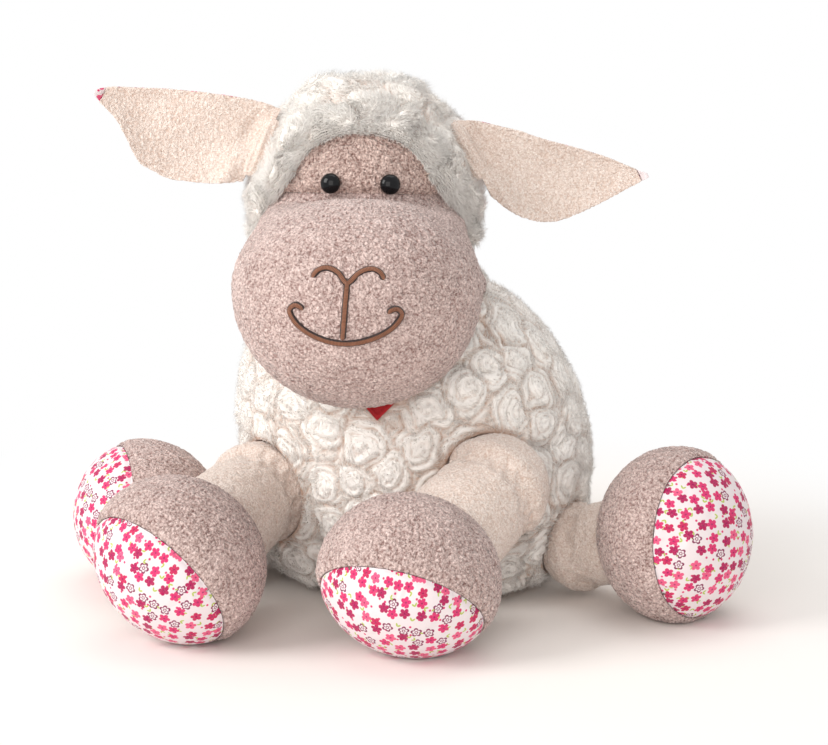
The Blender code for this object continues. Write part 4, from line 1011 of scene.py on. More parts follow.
@dataclass(frozen=True)
class HairCoat:
    """Fine hairs that stand over the pile, each a bent three-sided spike.

    Attributes:
        count: How many.
        length: Middle length in metres.
        width: Width at the root.
        rise: How steeply they leave the surface, 0 flat to 1 upright.
        bends: Shares of the length at which a hair has a three-sided ring, from its root on.
        seed: Start of the random numbers.
        sunk: How deep the root lies under the surface.
    """

    count: int
    length: float = 0.0045
    width: float = 0.00030
    rise: float = 0.35
    bends: tuple[float, ...] = (0.0,)
    seed: int = 21
    sunk: float = 0.0004

    def grow(self, points: Array, normals: Array, flow: Array, droop: Any = 0) -> Skin:
        """Hairs at random places of a surface.

        Args:
            points: Places on the surface.
            normals: Outward directions there.
            flow: Direction that the pile is brushed there.
            droop: A direction that every tip bends to, if any.

        Returns:
            All the hairs as one skin.
        """
        numbers = np.random.default_rng(self.seed)
        points, normals, flow = points.reshape(-1, 3), normals.reshape(-1, 3), flow.reshape(-1, 3)
        chosen = numbers.integers(0, len(points), self.count)
        jitter = numbers.normal(0, 1, (self.count, 3))
        root, normal = points[chosen], normals[chosen]
        level = jitter - normal * np.sum(jitter * normal, axis=1, keepdims=True)
        lean = unit(flow[chosen] + 0.45 * level)
        length = self.length * numbers.uniform(0.55, 1.35, (self.count, 1))
        start = unit(normal * (self.rise + 0.35) + lean * 0.8)
        end = unit(normal * (self.rise - 0.15) + lean + droop)
        side = unit(np.cross(start, normal + 0.01 * jitter))
        other = np.cross(start, side)
        rings = []
        for share in self.bends:
            way = length * (start * share * (1 - share / 2) + end * share**2 / 2)
            thin = self.width * 0.58 * (1 - 0.4 * share)
            middle = root + way - normal * self.sunk
            for angle in circle(3):
                rings.append(middle + thin * (math.cos(angle) * side + math.sin(angle) * other))
        tip = root + length * (start + end) / 2 - normal * self.sunk / 2
        everything = np.stack((*rings, tip), axis=1).reshape(-1, 3)
        size = len(rings) + 1
        last = size - 4
        base = size * np.arange(self.count)[:, None]
        spike = [(last + k, last + (k + 1) % 3, last + 3) for k in range(3)]
        faces = [np.concatenate([base + np.array(corners) for corners in (*spike, (0, 2, 1))])]
        if last:
            sides = ((0, 1, 4, 3), (1, 2, 5, 4), (2, 0, 3, 5))
            faces.append(np.concatenate([base + np.array(corners) for corners in sides]))
        # Painted shade: the pile share runs from 0.55 at a hair's root to 1 at its tip, so roots take the
        # plush's deep shade colour.
        pile = np.tile((*np.repeat(0.55 + 0.5 * np.array(self.bends), 3), 1.0), self.count)
        return Skin(everything, faces, pile, np.zeros((len(everything), 2)))


# Body

@dataclass(frozen=True)
class BodyShape:
    """The body's smooth form: rounded sections on a profile, leaning towards the head."""

    half_width: float = 0.0945
    half_depth: float = 0.082
    height: float = 0.196
    lean_x: float = -0.022
    lean_y: float = -0.029
    lean_power: float = 2.6
    squareness: float = 2.25
    profile: Table = ((0.0, 0.66), (0.025, 0.80), (0.09, 0.915), (0.20, 0.98), (0.33, 1.0), (0.45, 0.985),
                      (0.57, 0.935), (0.68, 0.845), (0.78, 0.71), (0.88, 0.55), (1.0, 0.42))

    def section(self, shares: Array) -> tuple[Array, Array, Array]:
        """Size and level middle of the sections at shares of the height."""
        lean = shares**self.lean_power
        return smooth_table(self.profile, shares), self.lean_x * lean, self.lean_y * lean

    def at(self, shares: Array, turns: Array) -> Array:
        """Points at shares of the height and turns round it, on superellipse sections.

        A section's places are the cosine and sine of the turn, each raised to two over the squareness.
        """
        shares, turns = np.broadcast_arrays(shares, turns)
        power = 2 / self.squareness
        size, x, y = self.section(shares)
        wide, deep = rounded(np.cos(turns), power), rounded(np.sin(turns), power)
        return np.stack((x + self.half_width * size * wide, y + self.half_depth * size * deep,
                         shares * self.height), axis=-1)

    def gap(self, points: Array) -> Array:
        """Level distance of points from the form, negative inside.

        It is the superellipse's radius less one, times the section's mean half width.
        """
        size, x, y = self.section(np.clip(points[..., 2] / self.height, 0, 1))
        wide = np.abs(points[..., 0] - x) / (self.half_width * size)
        deep = np.abs(points[..., 1] - y) / (self.half_depth * size)
        radius = (wide**self.squareness + deep**self.squareness) ** (1 / self.squareness)
        return (radius - 1) * size * (self.half_width + self.half_depth) / 2


BODY = BodyShape()


@dataclass(frozen=True)
class HeadShape:
    """The head's smooth form: a ball that runs into a muzzle, in a frame of its own."""

    centre: Array = spot(-0.0225, -0.030, 0.216)
    yaw: float = math.radians(12.0)
    roll: float = math.radians(0.8)
    ball: float = 0.0615
    blend: float = 12.0
    muzzle: Array = spot(0.0, -0.080, -0.041)
    muzzle_half_width: float = 0.0652
    muzzle_half_depth: float = 0.050
    muzzle_upper_height: float = 0.046
    muzzle_lower_height: float = 0.0625
    panel_sink: float = 0.0033
    seam_tilt: float = math.radians(5.8)
    edge: Table = ((0.0, 65.6), (14.0, 65.2), (27.0, 63.5), (39.0, 59.2), (49.0, 55.4), (61.0, 54.9),
                   (79.0, 60.0), (92.0, 64.0), (110.0, 65.0), (146.0, 60.0), (180.0, 55.0))

    def turn(self) -> Array:
        """Rotation from the head's frame to the row's."""
        return np.array(Matrix.Rotation(self.yaw, 3, "Z") @ Matrix.Rotation(self.roll, 3, "Y"))

    def world(self, points: Array) -> Array:
        """Points of the head's frame in the row frame."""
        return points @ self.turn().T + self.centre

    def local(self, points: Array) -> Array:
        """Points of the row frame in the head's."""
        return (points - self.centre) @ self.turn()

    def axis(self) -> Array:
        """Direction from the head's centre to the muzzle's."""
        return unit(self.muzzle)

    def reach(self, directions: Array) -> Array:
        """Distance from the centre to the surface.

        The muzzle is an ellipsoid, deeper below its widest line than above it, and a ray leaves it at the far
        root of a quadratic. Ball and root are blended by a power mean.
        """
        bulb = np.zeros(directions.shape[:-1])
        for height, above in ((self.muzzle_upper_height, True), (self.muzzle_lower_height, False)):
            radii = np.array((self.muzzle_half_width, self.muzzle_half_depth, height))
            middle, rays = self.muzzle / radii, directions / radii
            squared = np.sum(rays**2, axis=-1)
            along = rays @ middle / squared
            under = along**2 - (middle @ middle - 1) / squared
            root = np.where((under > 0) & (along > 0), along + np.sqrt(np.maximum(under, 0)), 0.0)
            bulb = np.where((root * directions[..., 2] >= self.muzzle[2]) == above, root, bulb)
        return self.ball * (1 + (bulb / self.ball) ** self.blend) ** (1 / self.blend)

    def edge_fall(self, points: Array) -> Array:
        """How far points lie within the hood's face opening, as an angle, negative outside it."""
        rays, axis = unit(points), self.axis()
        side = np.array((1.0, 0.0, 0.0))
        top = np.cross(axis, side)
        turn = np.degrees(np.abs(np.arctan2(rays @ side, rays @ top)))
        return np.radians(smooth_table(self.edge, turn)) - np.arccos(np.clip(rays @ axis, -1, 1))

    def above_seam(self, points: Array) -> Array:
        """Distance of points over the plane of the seam below the eyes."""
        return points[..., 1] * math.sin(self.seam_tilt) + points[..., 2] * math.cos(self.seam_tilt)

    def face_point(self, across: float, up: float, lift: float = 0.0) -> tuple[Array, Array]:
        """Point and outward direction on the face panels, for a place on the face plane before the head."""
        ray = unit(np.array((across, -FACE_PLANE, up)))
        step = self.ball / 100
        around = unit(ray + step * np.array(((1, 0, 0), (-1, 0, 0), (0, 0, 1), (0, 0, -1)), float))
        reached = around * self.reach(around)[:, None]
        normal = unit(np.cross(reached[0] - reached[1], reached[2] - reached[3]))
        return ray * self.reach(ray) + normal * (lift - 0.003), normal


HEAD = HeadShape()


@dataclass(frozen=True)
class Stalk:
    """Round stalk that grows out of a ball-shaped root.

    Attributes:
        root: Middle of the ball.
        turn: Rotation that carries local Z along the stalk.
        radius: Radius of the ball.
        length: Length over which the swell runs.
        swell: Radius along the stalk, as shares of the ball's.
        closing: Length over which the end rounds off, or nothing for an open end.
    """

    root: tuple[float, float, float]
    turn: Array
    radius: float
    length: float
    swell: Table
    closing: float | None = None

    def rings(self, rows: int, cols: int, end: float) -> tuple[Array, Array]:
        """Rings evenly spaced from the back of the ball to an end, and their places along the stalk."""
        run = np.linspace(-self.radius * math.pi / 2 * 0.96, end, rows)[:, None]
        angle = np.minimum(run, 0) / self.radius
        wide = np.where(run < 0, np.cos(angle), smooth_table(self.swell, np.maximum(run, 0) / self.length))
        if self.closing:
            wide = wide * np.sqrt(np.clip((end - run) / self.closing + 0.02, 0, 1))
        height = np.where(run < 0, np.sin(angle), run / self.radius)
        turns = circle(cols)[None, :]
        parts = np.broadcast_arrays(wide * np.cos(turns), wide * np.sin(turns), height)
        return self.radius * np.stack(parts, axis=-1) @ self.turn.T + np.array(self.root), run

    def along(self, place: float) -> Array:
        """Point on the stalk's middle line."""
        return np.array(self.root) + self.turn @ np.array((0, 0, place))


@dataclass(frozen=True)
class Limb:
    """One arm or leg: a sleeve from a ball-shaped root to a hoof with a printed sole."""

    name: str
    root: tuple[float, float, float]
    hoof: tuple[float, float, float]
    sole_turns: tuple[float, float, float]
    root_radius: float
    hoof_count: int
    swell: Table = ((0.0, 1.0), (0.14, 0.91), (0.45, 0.95), (1.0, 0.94))
    half_width: float = 0.0400
    half_length: float = 0.0450
    crown_depth: float = 0.042
    sole_depth: float = 0.038
    seam: float = 0.0135
    sleeve_hidden: float = 0.020

    def sole_frame(self) -> Array:
        """Rotation of the hoof: local Z out through the sole, local Y along its long way."""
        yaw, down, roll = (math.radians(angle) for angle in self.sole_turns)
        turns = Matrix.Rotation(yaw, 3, "Z") @ Matrix.Rotation(math.pi / 2 + down, 3, "X")
        return np.array(turns @ Matrix.Rotation(roll, 3, "Z"))

    def hoof_surface(self, directions: Array) -> Array:
        """Points where directions of the hoof's frame meet it: two half ellipsoids on one oval."""
        depth = np.where(directions[..., 2] < 0, self.crown_depth, self.sole_depth)
        squared = (directions[..., 0] / self.half_width) ** 2 + (directions[..., 1] / self.half_length) ** 2
        return directions / np.sqrt(squared + (directions[..., 2] / depth) ** 2)[..., None]

    def sleeve_frame(self) -> tuple[Array, float]:
        """Rotation that carries local Z along the sleeve, and the sleeve's length."""
        reach = Vector(self.hoof) - Vector(self.root)
        return turned_to(reach), reach.length

    def build_sleeve(self) -> None:
        """Terry sleeve: the ball of its root, then a gently waisted tube that ends inside the hoof."""
        turn, length = self.sleeve_frame()
        stalk, end = Stalk(self.root, turn, self.root_radius, length, self.swell), length - self.sleeve_hidden
        rows, cols, coarse_rows, coarse_cols = 125, 180, 24, 36
        coarse, _ = stalk.rings(coarse_rows, coarse_cols, end)
        held = np.zeros((coarse_rows, coarse_cols), bool)
        held[:9], held[-3:] = True, True
        moves = Stuffing(pressure=2.0, slack=0.03, cap=0.0020).swell(coarse, held, True)
        base = stalk.rings(rows, cols, end)[0] + refined(moves, rows, cols, True)
        normals = grid_normals(base, stalk.along(length / 2), True)
        pile = TerryPile(loop=0.0018, seed=41).share(base)
        inside = ease(-0.010, 0.004, BODY.gap(base))
        lift = (pile * 0.0008 - 0.0009) * inside - 0.0006 * (1 - inside)
        poles = (stalk.along(-self.root_radius), stalk.along(end))
        skin = Skin.tube(base + normals * lift[..., None], pile, poles=poles)
        skin.piece(f"{self.name}_terry_sleeve", self.name, Finish.CREAM_TERRY, (f"{self.name}_sleeve",),
                   "cream_terry", 0.85)

    def crown_lift(self, base: Array, from_seam: Array) -> tuple[Array, Array]:
        """Relief of the terry crown and its pile, tucked in at the seam."""
        pile = TerryPile(seed=51).share(base)
        return pile * 0.0011 - 0.0003 - 0.0003 * (1 - ease(0.0, 0.0020, from_seam)), pile

    def sole_lift(self, base: Array, from_seam: Array) -> tuple[Array, Array]:
        """Relief of the cotton sole, which puckers and tucks in towards the seam, and its even pile."""
        pucker = LatticeNoise(61).at(base * (1, 1, 0.2), 0.005) - 0.5
        tuck = 0.0003 + 0.0005 * (1 - ease(0.0, 0.0030, from_seam))
        return 0.0007 * pucker * (1 - ease(0.0, 0.016, from_seam)) - tuck, np.full(pucker.shape, 0.5)

    def build_hoof(self, sign: float, count: int, slack: float, relief: Callable[..., Any]) -> Skin:
        """One half of the hoof, swelled inside its seam and clear of the other half.

        Args:
            sign: One for the sole, less one for the crown.
            count: Points along each side of its grid.
            slack: Share by which its cloth is larger than its form.
            relief: Gives the relief and the pile for places and their distances from the seam.

        Returns:
            Its closed skin.
        """
        turn, centre = self.sole_frame(), np.array(self.hoof)
        border = self.seam + sign * 0.00005
        region = StarRegion(np.array((0.0, 0.0, sign)), self.hoof_surface,
                            lambda points: sign * (points[..., 2] - border) > 0, np.array((0.0, 1.0, 0.0)))
        coarse, _ = region.grid(33)
        share, _ = disc_grid(33)
        moves = Stuffing(pressure=3.0, slack=slack, cap=0.0015).swell(coarse, share > 0.97, False)
        base, flat = region.grid(count)
        base = base + refined(moves, count, count)
        normals = grid_normals(base, np.zeros(3))
        lift, pile = relief(base, sign * (base[..., 2] - border))
        points = (base + normals * lift[..., None]) @ turn.T + centre
        inner = centre + turn @ np.array((0, 0, border))
        return Skin.patch(points, normals @ turn.T, pile, 0.002, inner, flat)

    def build(self) -> None:
        """Sleeve, crown and sole."""
        self.build_sleeve()
        crown = self.build_hoof(-1.0, self.hoof_count, 0.02, self.crown_lift)
        crown.piece(f"{self.name}_terry_hoof", self.name, Finish.TAUPE_TERRY,
                    (f"{self.name}_hoof_cover", f"{self.name}_filling"), "taupe_terry", 0.9)
        sole = self.build_hoof(1.0, 100, 0.012, self.sole_lift)
        sole.piece(f"{self.name}_printed_sole", self.name, Finish.FLORAL, (f"{self.name}_sole_pad",),
                   "floral_cotton", 0.9)


LIMBS = (
    Limb("left_arm", (0.060, -0.0800, 0.070), (0.030, -0.147, 0.0375), (-8, 48, 70), 0.0285, 210),
    Limb("right_arm", (-0.0735, -0.066, 0.056), (-0.088, -0.155, 0.0406), (-30, 30, 50), 0.0285, 210),
    Limb("left_leg", (0.098, -0.026, 0.027), (0.152, -0.053, 0.0439), (58, -5, -8), 0.024, 200),
    Limb("right_leg", (-0.098, -0.016, 0.027), (-0.142, -0.0605, 0.0387), (-58, -5, 80), 0.024, 180),
)


@dataclass(frozen=True)
class Tail:
    """Short plush tail on a ball-shaped root."""

    root: tuple[float, float, float] = (0.0, 0.090141, 0.056)
    root_radius: float = 0.012
    length: float = 0.040
    fall: float = math.radians(38.0)
    rounded_end: float = 0.006
    swell: Table = ((0.0, 1.0), (0.35, 1.10), (0.70, 1.20), (0.88, 1.02), (1.0, 0.62))

    def build(self) -> None:
        """Plush cover with its pile and hairs."""
        turn = turned_to((0, math.cos(self.fall), -math.sin(self.fall)))
        stalk = Stalk(self.root, turn, self.root_radius, self.length, self.swell, self.rounded_end)
        base, run = stalk.rings(110, 120, self.length)
        normals = grid_normals(base, stalk.along(self.length / 3), True)
        lift, swirl, flow = RosettePile(pitch=0.016, ring=0.0042, height=0.0022, seed=91).lay(base, normals)
        share = ease(0.001, 0.010, run)
        points = base + normals * ((lift - 0.0004) * share)[..., None]
        poles = (stalk.along(-self.root_radius), stalk.along(self.length + 0.001))
        # Painted shade: the pile share is low in the rosettes' valleys, which gives them the plush's deep
        # shade colour.
        skin = Skin.tube(points, np.clip(lift / 0.004, 0, 1), swirl, poles)
        skin.piece("tail_plush", "tail", Finish.CREAM_PLUSH, ("tail_cover", "tail_filling"), PLUSH_SLOT, 0.7)
        seen = np.broadcast_to(share > 0.5, lift.shape)
        hairs = HairCoat(6000, 0.0038, seed=92).grow(points[seen], normals[seen], flow[seen])
        hairs.piece("tail_hairs", "tail", Finish.CREAM_PLUSH, (), PLUSH_SLOT)


@dataclass(frozen=True)
class BodyCover:
    """Rosette plush over the body, dished for the head and hollowed for the limbs and the tail."""

    rows: int = 176
    cols: int = 480
    dish_rows: int = 10
    dish_gap: float = 0.0009
    root_gap: float = 0.0005
    limb_room: float = 0.006
    tail_room: float = 0.020
    sunk: float = 0.0006
    full_pile: float = 0.0026
    hair_count: int = 38000
    hair_length: float = 0.0042

    def rim_shares(self, turns: Array) -> Array:
        """Share of the height at which the form enters the head's dish, found by halving."""
        low, high = np.full(turns.shape, 0.5), np.ones(turns.shape)
        for _ in range(24):
            middle = (low + high) / 2
            away = np.linalg.norm(BODY.at(middle, turns) - HEAD.centre, axis=-1)
            outside = away > HEAD.ball + self.dish_gap
            low, high = np.where(outside, middle, low), np.where(outside, high, middle)
        return low

    def form(self, rows: int, cols: int) -> Array:
        """Rings from the flat seat to the rim of the dish."""
        turns = circle(cols)
        top = self.rim_shares(turns)
        spaced = np.linspace(0, 1, rows)[:, None]
        spaced = spaced * (0.55 + 0.45 * spaced ** 0.5)
        return BODY.at(spaced * top[None, :], turns[None, :])

    def hollowed(self, points: Array) -> tuple[Array, Array]:
        """Points pushed out of the balls of the limbs' and the tail's roots, and how near those are.

        A point inside a ball moves out along the ball's radius. Nearness falls from 1 at a ball to 0 beyond.
        """
        near = np.zeros(points.shape[:-1])
        balls = [(limb.root, limb.root_radius, self.limb_room) for limb in LIMBS]
        balls.append((Tail().root, Tail().root_radius, self.tail_room))
        for centre, radius, room in balls:
            away = points - np.array(centre)
            far = np.linalg.norm(away, axis=-1, keepdims=True)
            outside = np.array(centre) + away / far * (radius + self.root_gap)
            points = np.where(far < radius + self.root_gap, outside, points)
            near = np.maximum(near, 1 - ease(0.0, room, far[..., 0] - radius))
        return points, near

    def room(self, base: Array) -> Array:
        """Share of the pile that stands up at each place.

        It lies flat at the head's dish and at the floor, and low under the chin and behind the tab.
        """
        local = HEAD.local(base)
        from_middle = np.linalg.norm(local, axis=-1)
        under_chin = from_middle - HEAD.reach(unit(local))
        open_places = ease(0.002, 0.020, from_middle - HEAD.ball) * ease(0.0, 0.008, base[..., 2])
        chin = 0.5 + 0.5 * ease(0.012, 0.022, under_chin)
        return open_places * chin * (0.25 + 0.75 * ease(-0.001, 0.004, ClothTab().beside(base)))

    def build(self) -> None:
        """Swell the form, dish it, lay the rosettes and grow the hairs."""
        coarse = self.form(40, 72)
        held = np.zeros(coarse.shape[:2], bool)
        held[:3], held[-2:] = True, True
        held |= self.hollowed(coarse)[1] > 0.2
        moves = Stuffing(pressure=2.0, slack=0.03, cap=0.0025).swell(coarse, held, True)
        base = self.form(self.rows, self.cols) + refined(moves, self.rows, self.cols, True)
        base, near = self.hollowed(base)
        normals = grid_normals(base, np.array((0, 0, 0.08)), True)
        lift, swirl, flow = RosettePile().lay(base, normals)
        clear = self.room(base) * (1 - near)
        points = base + normals * ((lift - self.sunk) * clear)[..., None]
        rim = unit(points[-1] - HEAD.centre)
        steps = np.linspace(0, 1, self.dish_rows + 1)[1:-1, None, None]
        dish = HEAD.centre + unit(rim * (1 - steps) - UP * steps) * (HEAD.ball + self.dish_gap)
        # Painted shade: low rosette valleys and the flattened pile under the chin, near the floor, at the
        # dish and behind the tab take the plush's deep shade colour.
        pile = np.clip(lift * clear / self.full_pile, 0, 1)
        everything = np.concatenate((points, dish))
        pile = np.concatenate((pile, np.zeros(dish.shape[:2])))
        cloth = np.concatenate((swirl, np.zeros((*dish.shape[:2], 2))))
        bottom = HEAD.centre - UP * (HEAD.ball + self.dish_gap)
        skin = Skin.tube(everything, pile, cloth, (np.array((0.0, 0.0, FLOOR_GAP)), bottom))
        stands_for = ("body_cover", "body_filling")
        skin.piece("body_plush", "torso", Finish.CREAM_PLUSH, stands_for, PLUSH_SLOT, 0.85)
        seen = (clear > 0.3) & (base[..., 2] > 0.006)
        for number in range(2):
            coat = HairCoat(self.hair_count, self.hair_length, seed=23 + number)
            hairs = coat.grow(points[seen], normals[seen], flow[seen])
            hairs.piece(f"body_hairs_{number + 1}", "torso", Finish.CREAM_PLUSH, (), PLUSH_SLOT)


@dataclass(frozen=True)
class ClothTab:
    """Plain red cloth tab under the chin, hemmed and hanging by one edge."""

    width: float = 0.020
    length: float = 0.024
    thickness: float = 0.0012
    low_corner: tuple[float, float] = (-0.001, 0.104)
    turn: float = math.radians(43.0)
    lift: float = 0.0046

    def sides(self) -> tuple[Array, Array]:
        """Directions of the tab's width and of its length on the chest, seen from the front."""
        return (np.array((-math.cos(self.turn), math.sin(self.turn))),
                np.array((math.sin(self.turn), math.cos(self.turn))))

    def beside(self, points: Array) -> Array:
        """How far points of the chest lie outside the tab's outline, negative behind it."""
        aside, along = self.sides()
        level = points[..., (0, 2)] - np.array(self.low_corner)
        wide = np.abs(level @ aside - self.width / 2) - self.width / 2
        tall = np.abs(level @ along - self.length / 2) - self.length / 2
        return np.where(points[..., 1] < 0, np.maximum(wide, tall), 1.0)

    def build(self) -> None:
        """Sheet over the chest's form, a little wavy, with a stitched hem along its border."""
        aside, along = self.sides()
        count = 40
        wide, long = np.meshgrid(np.linspace(0, 1, count), np.linspace(0, 1, count), indexing="ij")
        flat = np.array(self.low_corner) + wide[..., None] * aside * self.width
        flat = flat + long[..., None] * along * self.length
        size, x, y = BODY.section(flat[..., 1] / BODY.height)
        across = np.abs(flat[..., 0] - x) / (BODY.half_width * size)
        deep = (1 - across**BODY.squareness) ** (1 / BODY.squareness)
        base = np.stack((flat[..., 0], y - BODY.half_depth * size * deep, flat[..., 1]), axis=-1)
        normals = grid_normals(base, np.array((0, 0, 0.10)))
        border = np.minimum(np.minimum(wide, 1 - wide) * self.width, np.minimum(long, 1 - long) * self.length)
        hem = 0.0004 * (1 - ease(0.0018, 0.0022, border)) - 0.0004 * (1 - ease(0.0, 0.0006, border))
        stitches = 0.00025 * (np.abs(border - 0.0019) < 0.0003) * (np.sin((wide + long) * 190) > 0)
        wave = 0.0010 * np.sin(5.0 * wide + 2.0) * (1 - long)
        points = base + normals * (self.lift + wave + hem + stitches)[..., None]
        count_all = count * count
        back = points - normals * self.thickness
        rim = rim_of(count)
        following = np.roll(rim, -1)
        edge = np.stack((rim, following, count_all + following, count_all + rim), axis=-1)
        faces = grid_faces(count, count, False)
        skin = Skin(np.vstack((points.reshape(-1, 3), back.reshape(-1, 3))),
                    [faces, faces[:, ::-1] + count_all, edge[:, ::-1]], np.zeros(2 * count_all),
                    np.zeros((2 * count_all, 2)))
        tab = skin.piece("red_cloth_tab", "torso", Finish.RED_CLOTH, ("chest_tab",), "red_cloth")


# Head

@dataclass(frozen=True)
class Hood:
    """Rosette plush over the back and top of the head, rolled over the edge of the face."""

    count: int = 300
    pile: RosettePile = RosettePile(0.021, 0.0058, 0.0022, dome=0.0022, stir=0.0026, seed=71)
    lumps: tuple[tuple[int, float, float], ...] = ((77, 0.016, 0.0044), (78, 0.007, 0.0034))
    loft: float = 0.0050
    side_loft: float = 0.0014
    roll: float = 0.0190
    edge_tuck: float = 0.0035
    pressed: float = 0.0012
    overhang: float = 0.0008
    nape_top: float = 0.19

    def room(self, base: Array, local: Array) -> Array:
        """Share of the pile that stands up at each place: it lies flat at the nape and at the ears' roots."""
        clear = ease(0.001, 0.020, BODY.gap(base) + 0.4 * np.maximum(base[..., 2] - self.nape_top, 0))
        for ear in EARS:
            first, last = ear.root_ends()
            along = np.clip((local - first) @ (last - first) / np.sum((last - first) ** 2), 0, 1)
            beside = np.linalg.norm(local - first - along[..., None] * (last - first), axis=-1)
            clear = clear * (0.12 + 0.88 * ease(0.003, 0.013, beside))
        return clear

    def build(self) -> None:
        """Lay the loose rosettes, turn the edge down to the face and grow the hairs."""
        region = StarRegion(-HEAD.axis(), lambda rays: rays * HEAD.reach(rays)[..., None],
                            lambda points: HEAD.edge_fall(points) < -0.004)
        local, _ = region.grid(self.count)
        base, centre = HEAD.world(local), HEAD.centre
        normals = grid_normals(base, centre)
        lift, swirl, flow = self.pile.lay(base, normals)
        from_edge = -HEAD.edge_fall(local) * HEAD.ball
        lumps = sum((LatticeNoise(seed).at(base, size) - 0.5) * depth for seed, size, depth in self.lumps)
        sides = ease(0.022, 0.040, np.abs(local[..., 0])) * ease(-0.026, -0.008, local[..., 2])
        loft = self.loft - (self.loft - self.side_loft) * sides
        clear = self.room(base, local)
        tufts = ((lift - lift.mean()) * 0.85 + lumps) * ease(0.0, 0.007, from_edge)
        rolled = np.clip(from_edge / self.roll, 0, 1) ** 0.50
        height = (loft * rolled + tufts - self.edge_tuck * (1 - rolled)) * clear - self.pressed * (1 - clear)
        forward = unit(np.array((0.0, -1.0, -0.35)) @ HEAD.turn().T)
        over = forward - normals * (normals @ forward)[..., None]
        overhang = self.overhang * (1 - ease(0.002, 0.010, from_edge)) * clear
        points = base + normals * height[..., None] + over * overhang[..., None]
        # Painted shade: hollows between lumps and rosettes take a darker share of the plush colour, and lumps
        # a lighter one.
        pile = np.clip(0.62 + (lift - lift.mean() + lumps * 0.4) / 0.0040, 0, 1)
        inner = centre + 0.012 * unit(-HEAD.axis() @ HEAD.turn().T)
        skin = Skin.patch(points, normals, pile, 0.003, inner, swirl)
        skin.piece("hood_plush", "head", Finish.HOOD_PLUSH, ("hood", "head_filling"), PLUSH_SLOT, 0.85)

        near_edge = 0.6 * (1 - ease(0.002, 0.012, from_edge))
        brushed = unit(flow * (1 - near_edge[..., None]) + over * near_edge[..., None])
        seen = clear > 0.3
        coat = HairCoat(38000, 0.0050, 0.00030, 0.45, seed=73)
        hairs = coat.grow(points[seen], normals[seen], brushed[seen])
        hairs.piece("hood_hairs", "head", Finish.HOOD_PLUSH, (), PLUSH_SLOT)
        fringe = seen & (from_edge < 0.016)
        droop = 0.25 * unit(np.array((0.0, -1.0, -0.3)) @ HEAD.turn().T)
        coat = HairCoat(12000, 0.0058, 0.00028, 0.50, (0.0, 0.5), 74)
        more = coat.grow(points[fringe], normals[fringe], brushed[fringe], droop)
        more.piece("hood_fringe", "head", Finish.HOOD_PLUSH, (), PLUSH_SLOT)


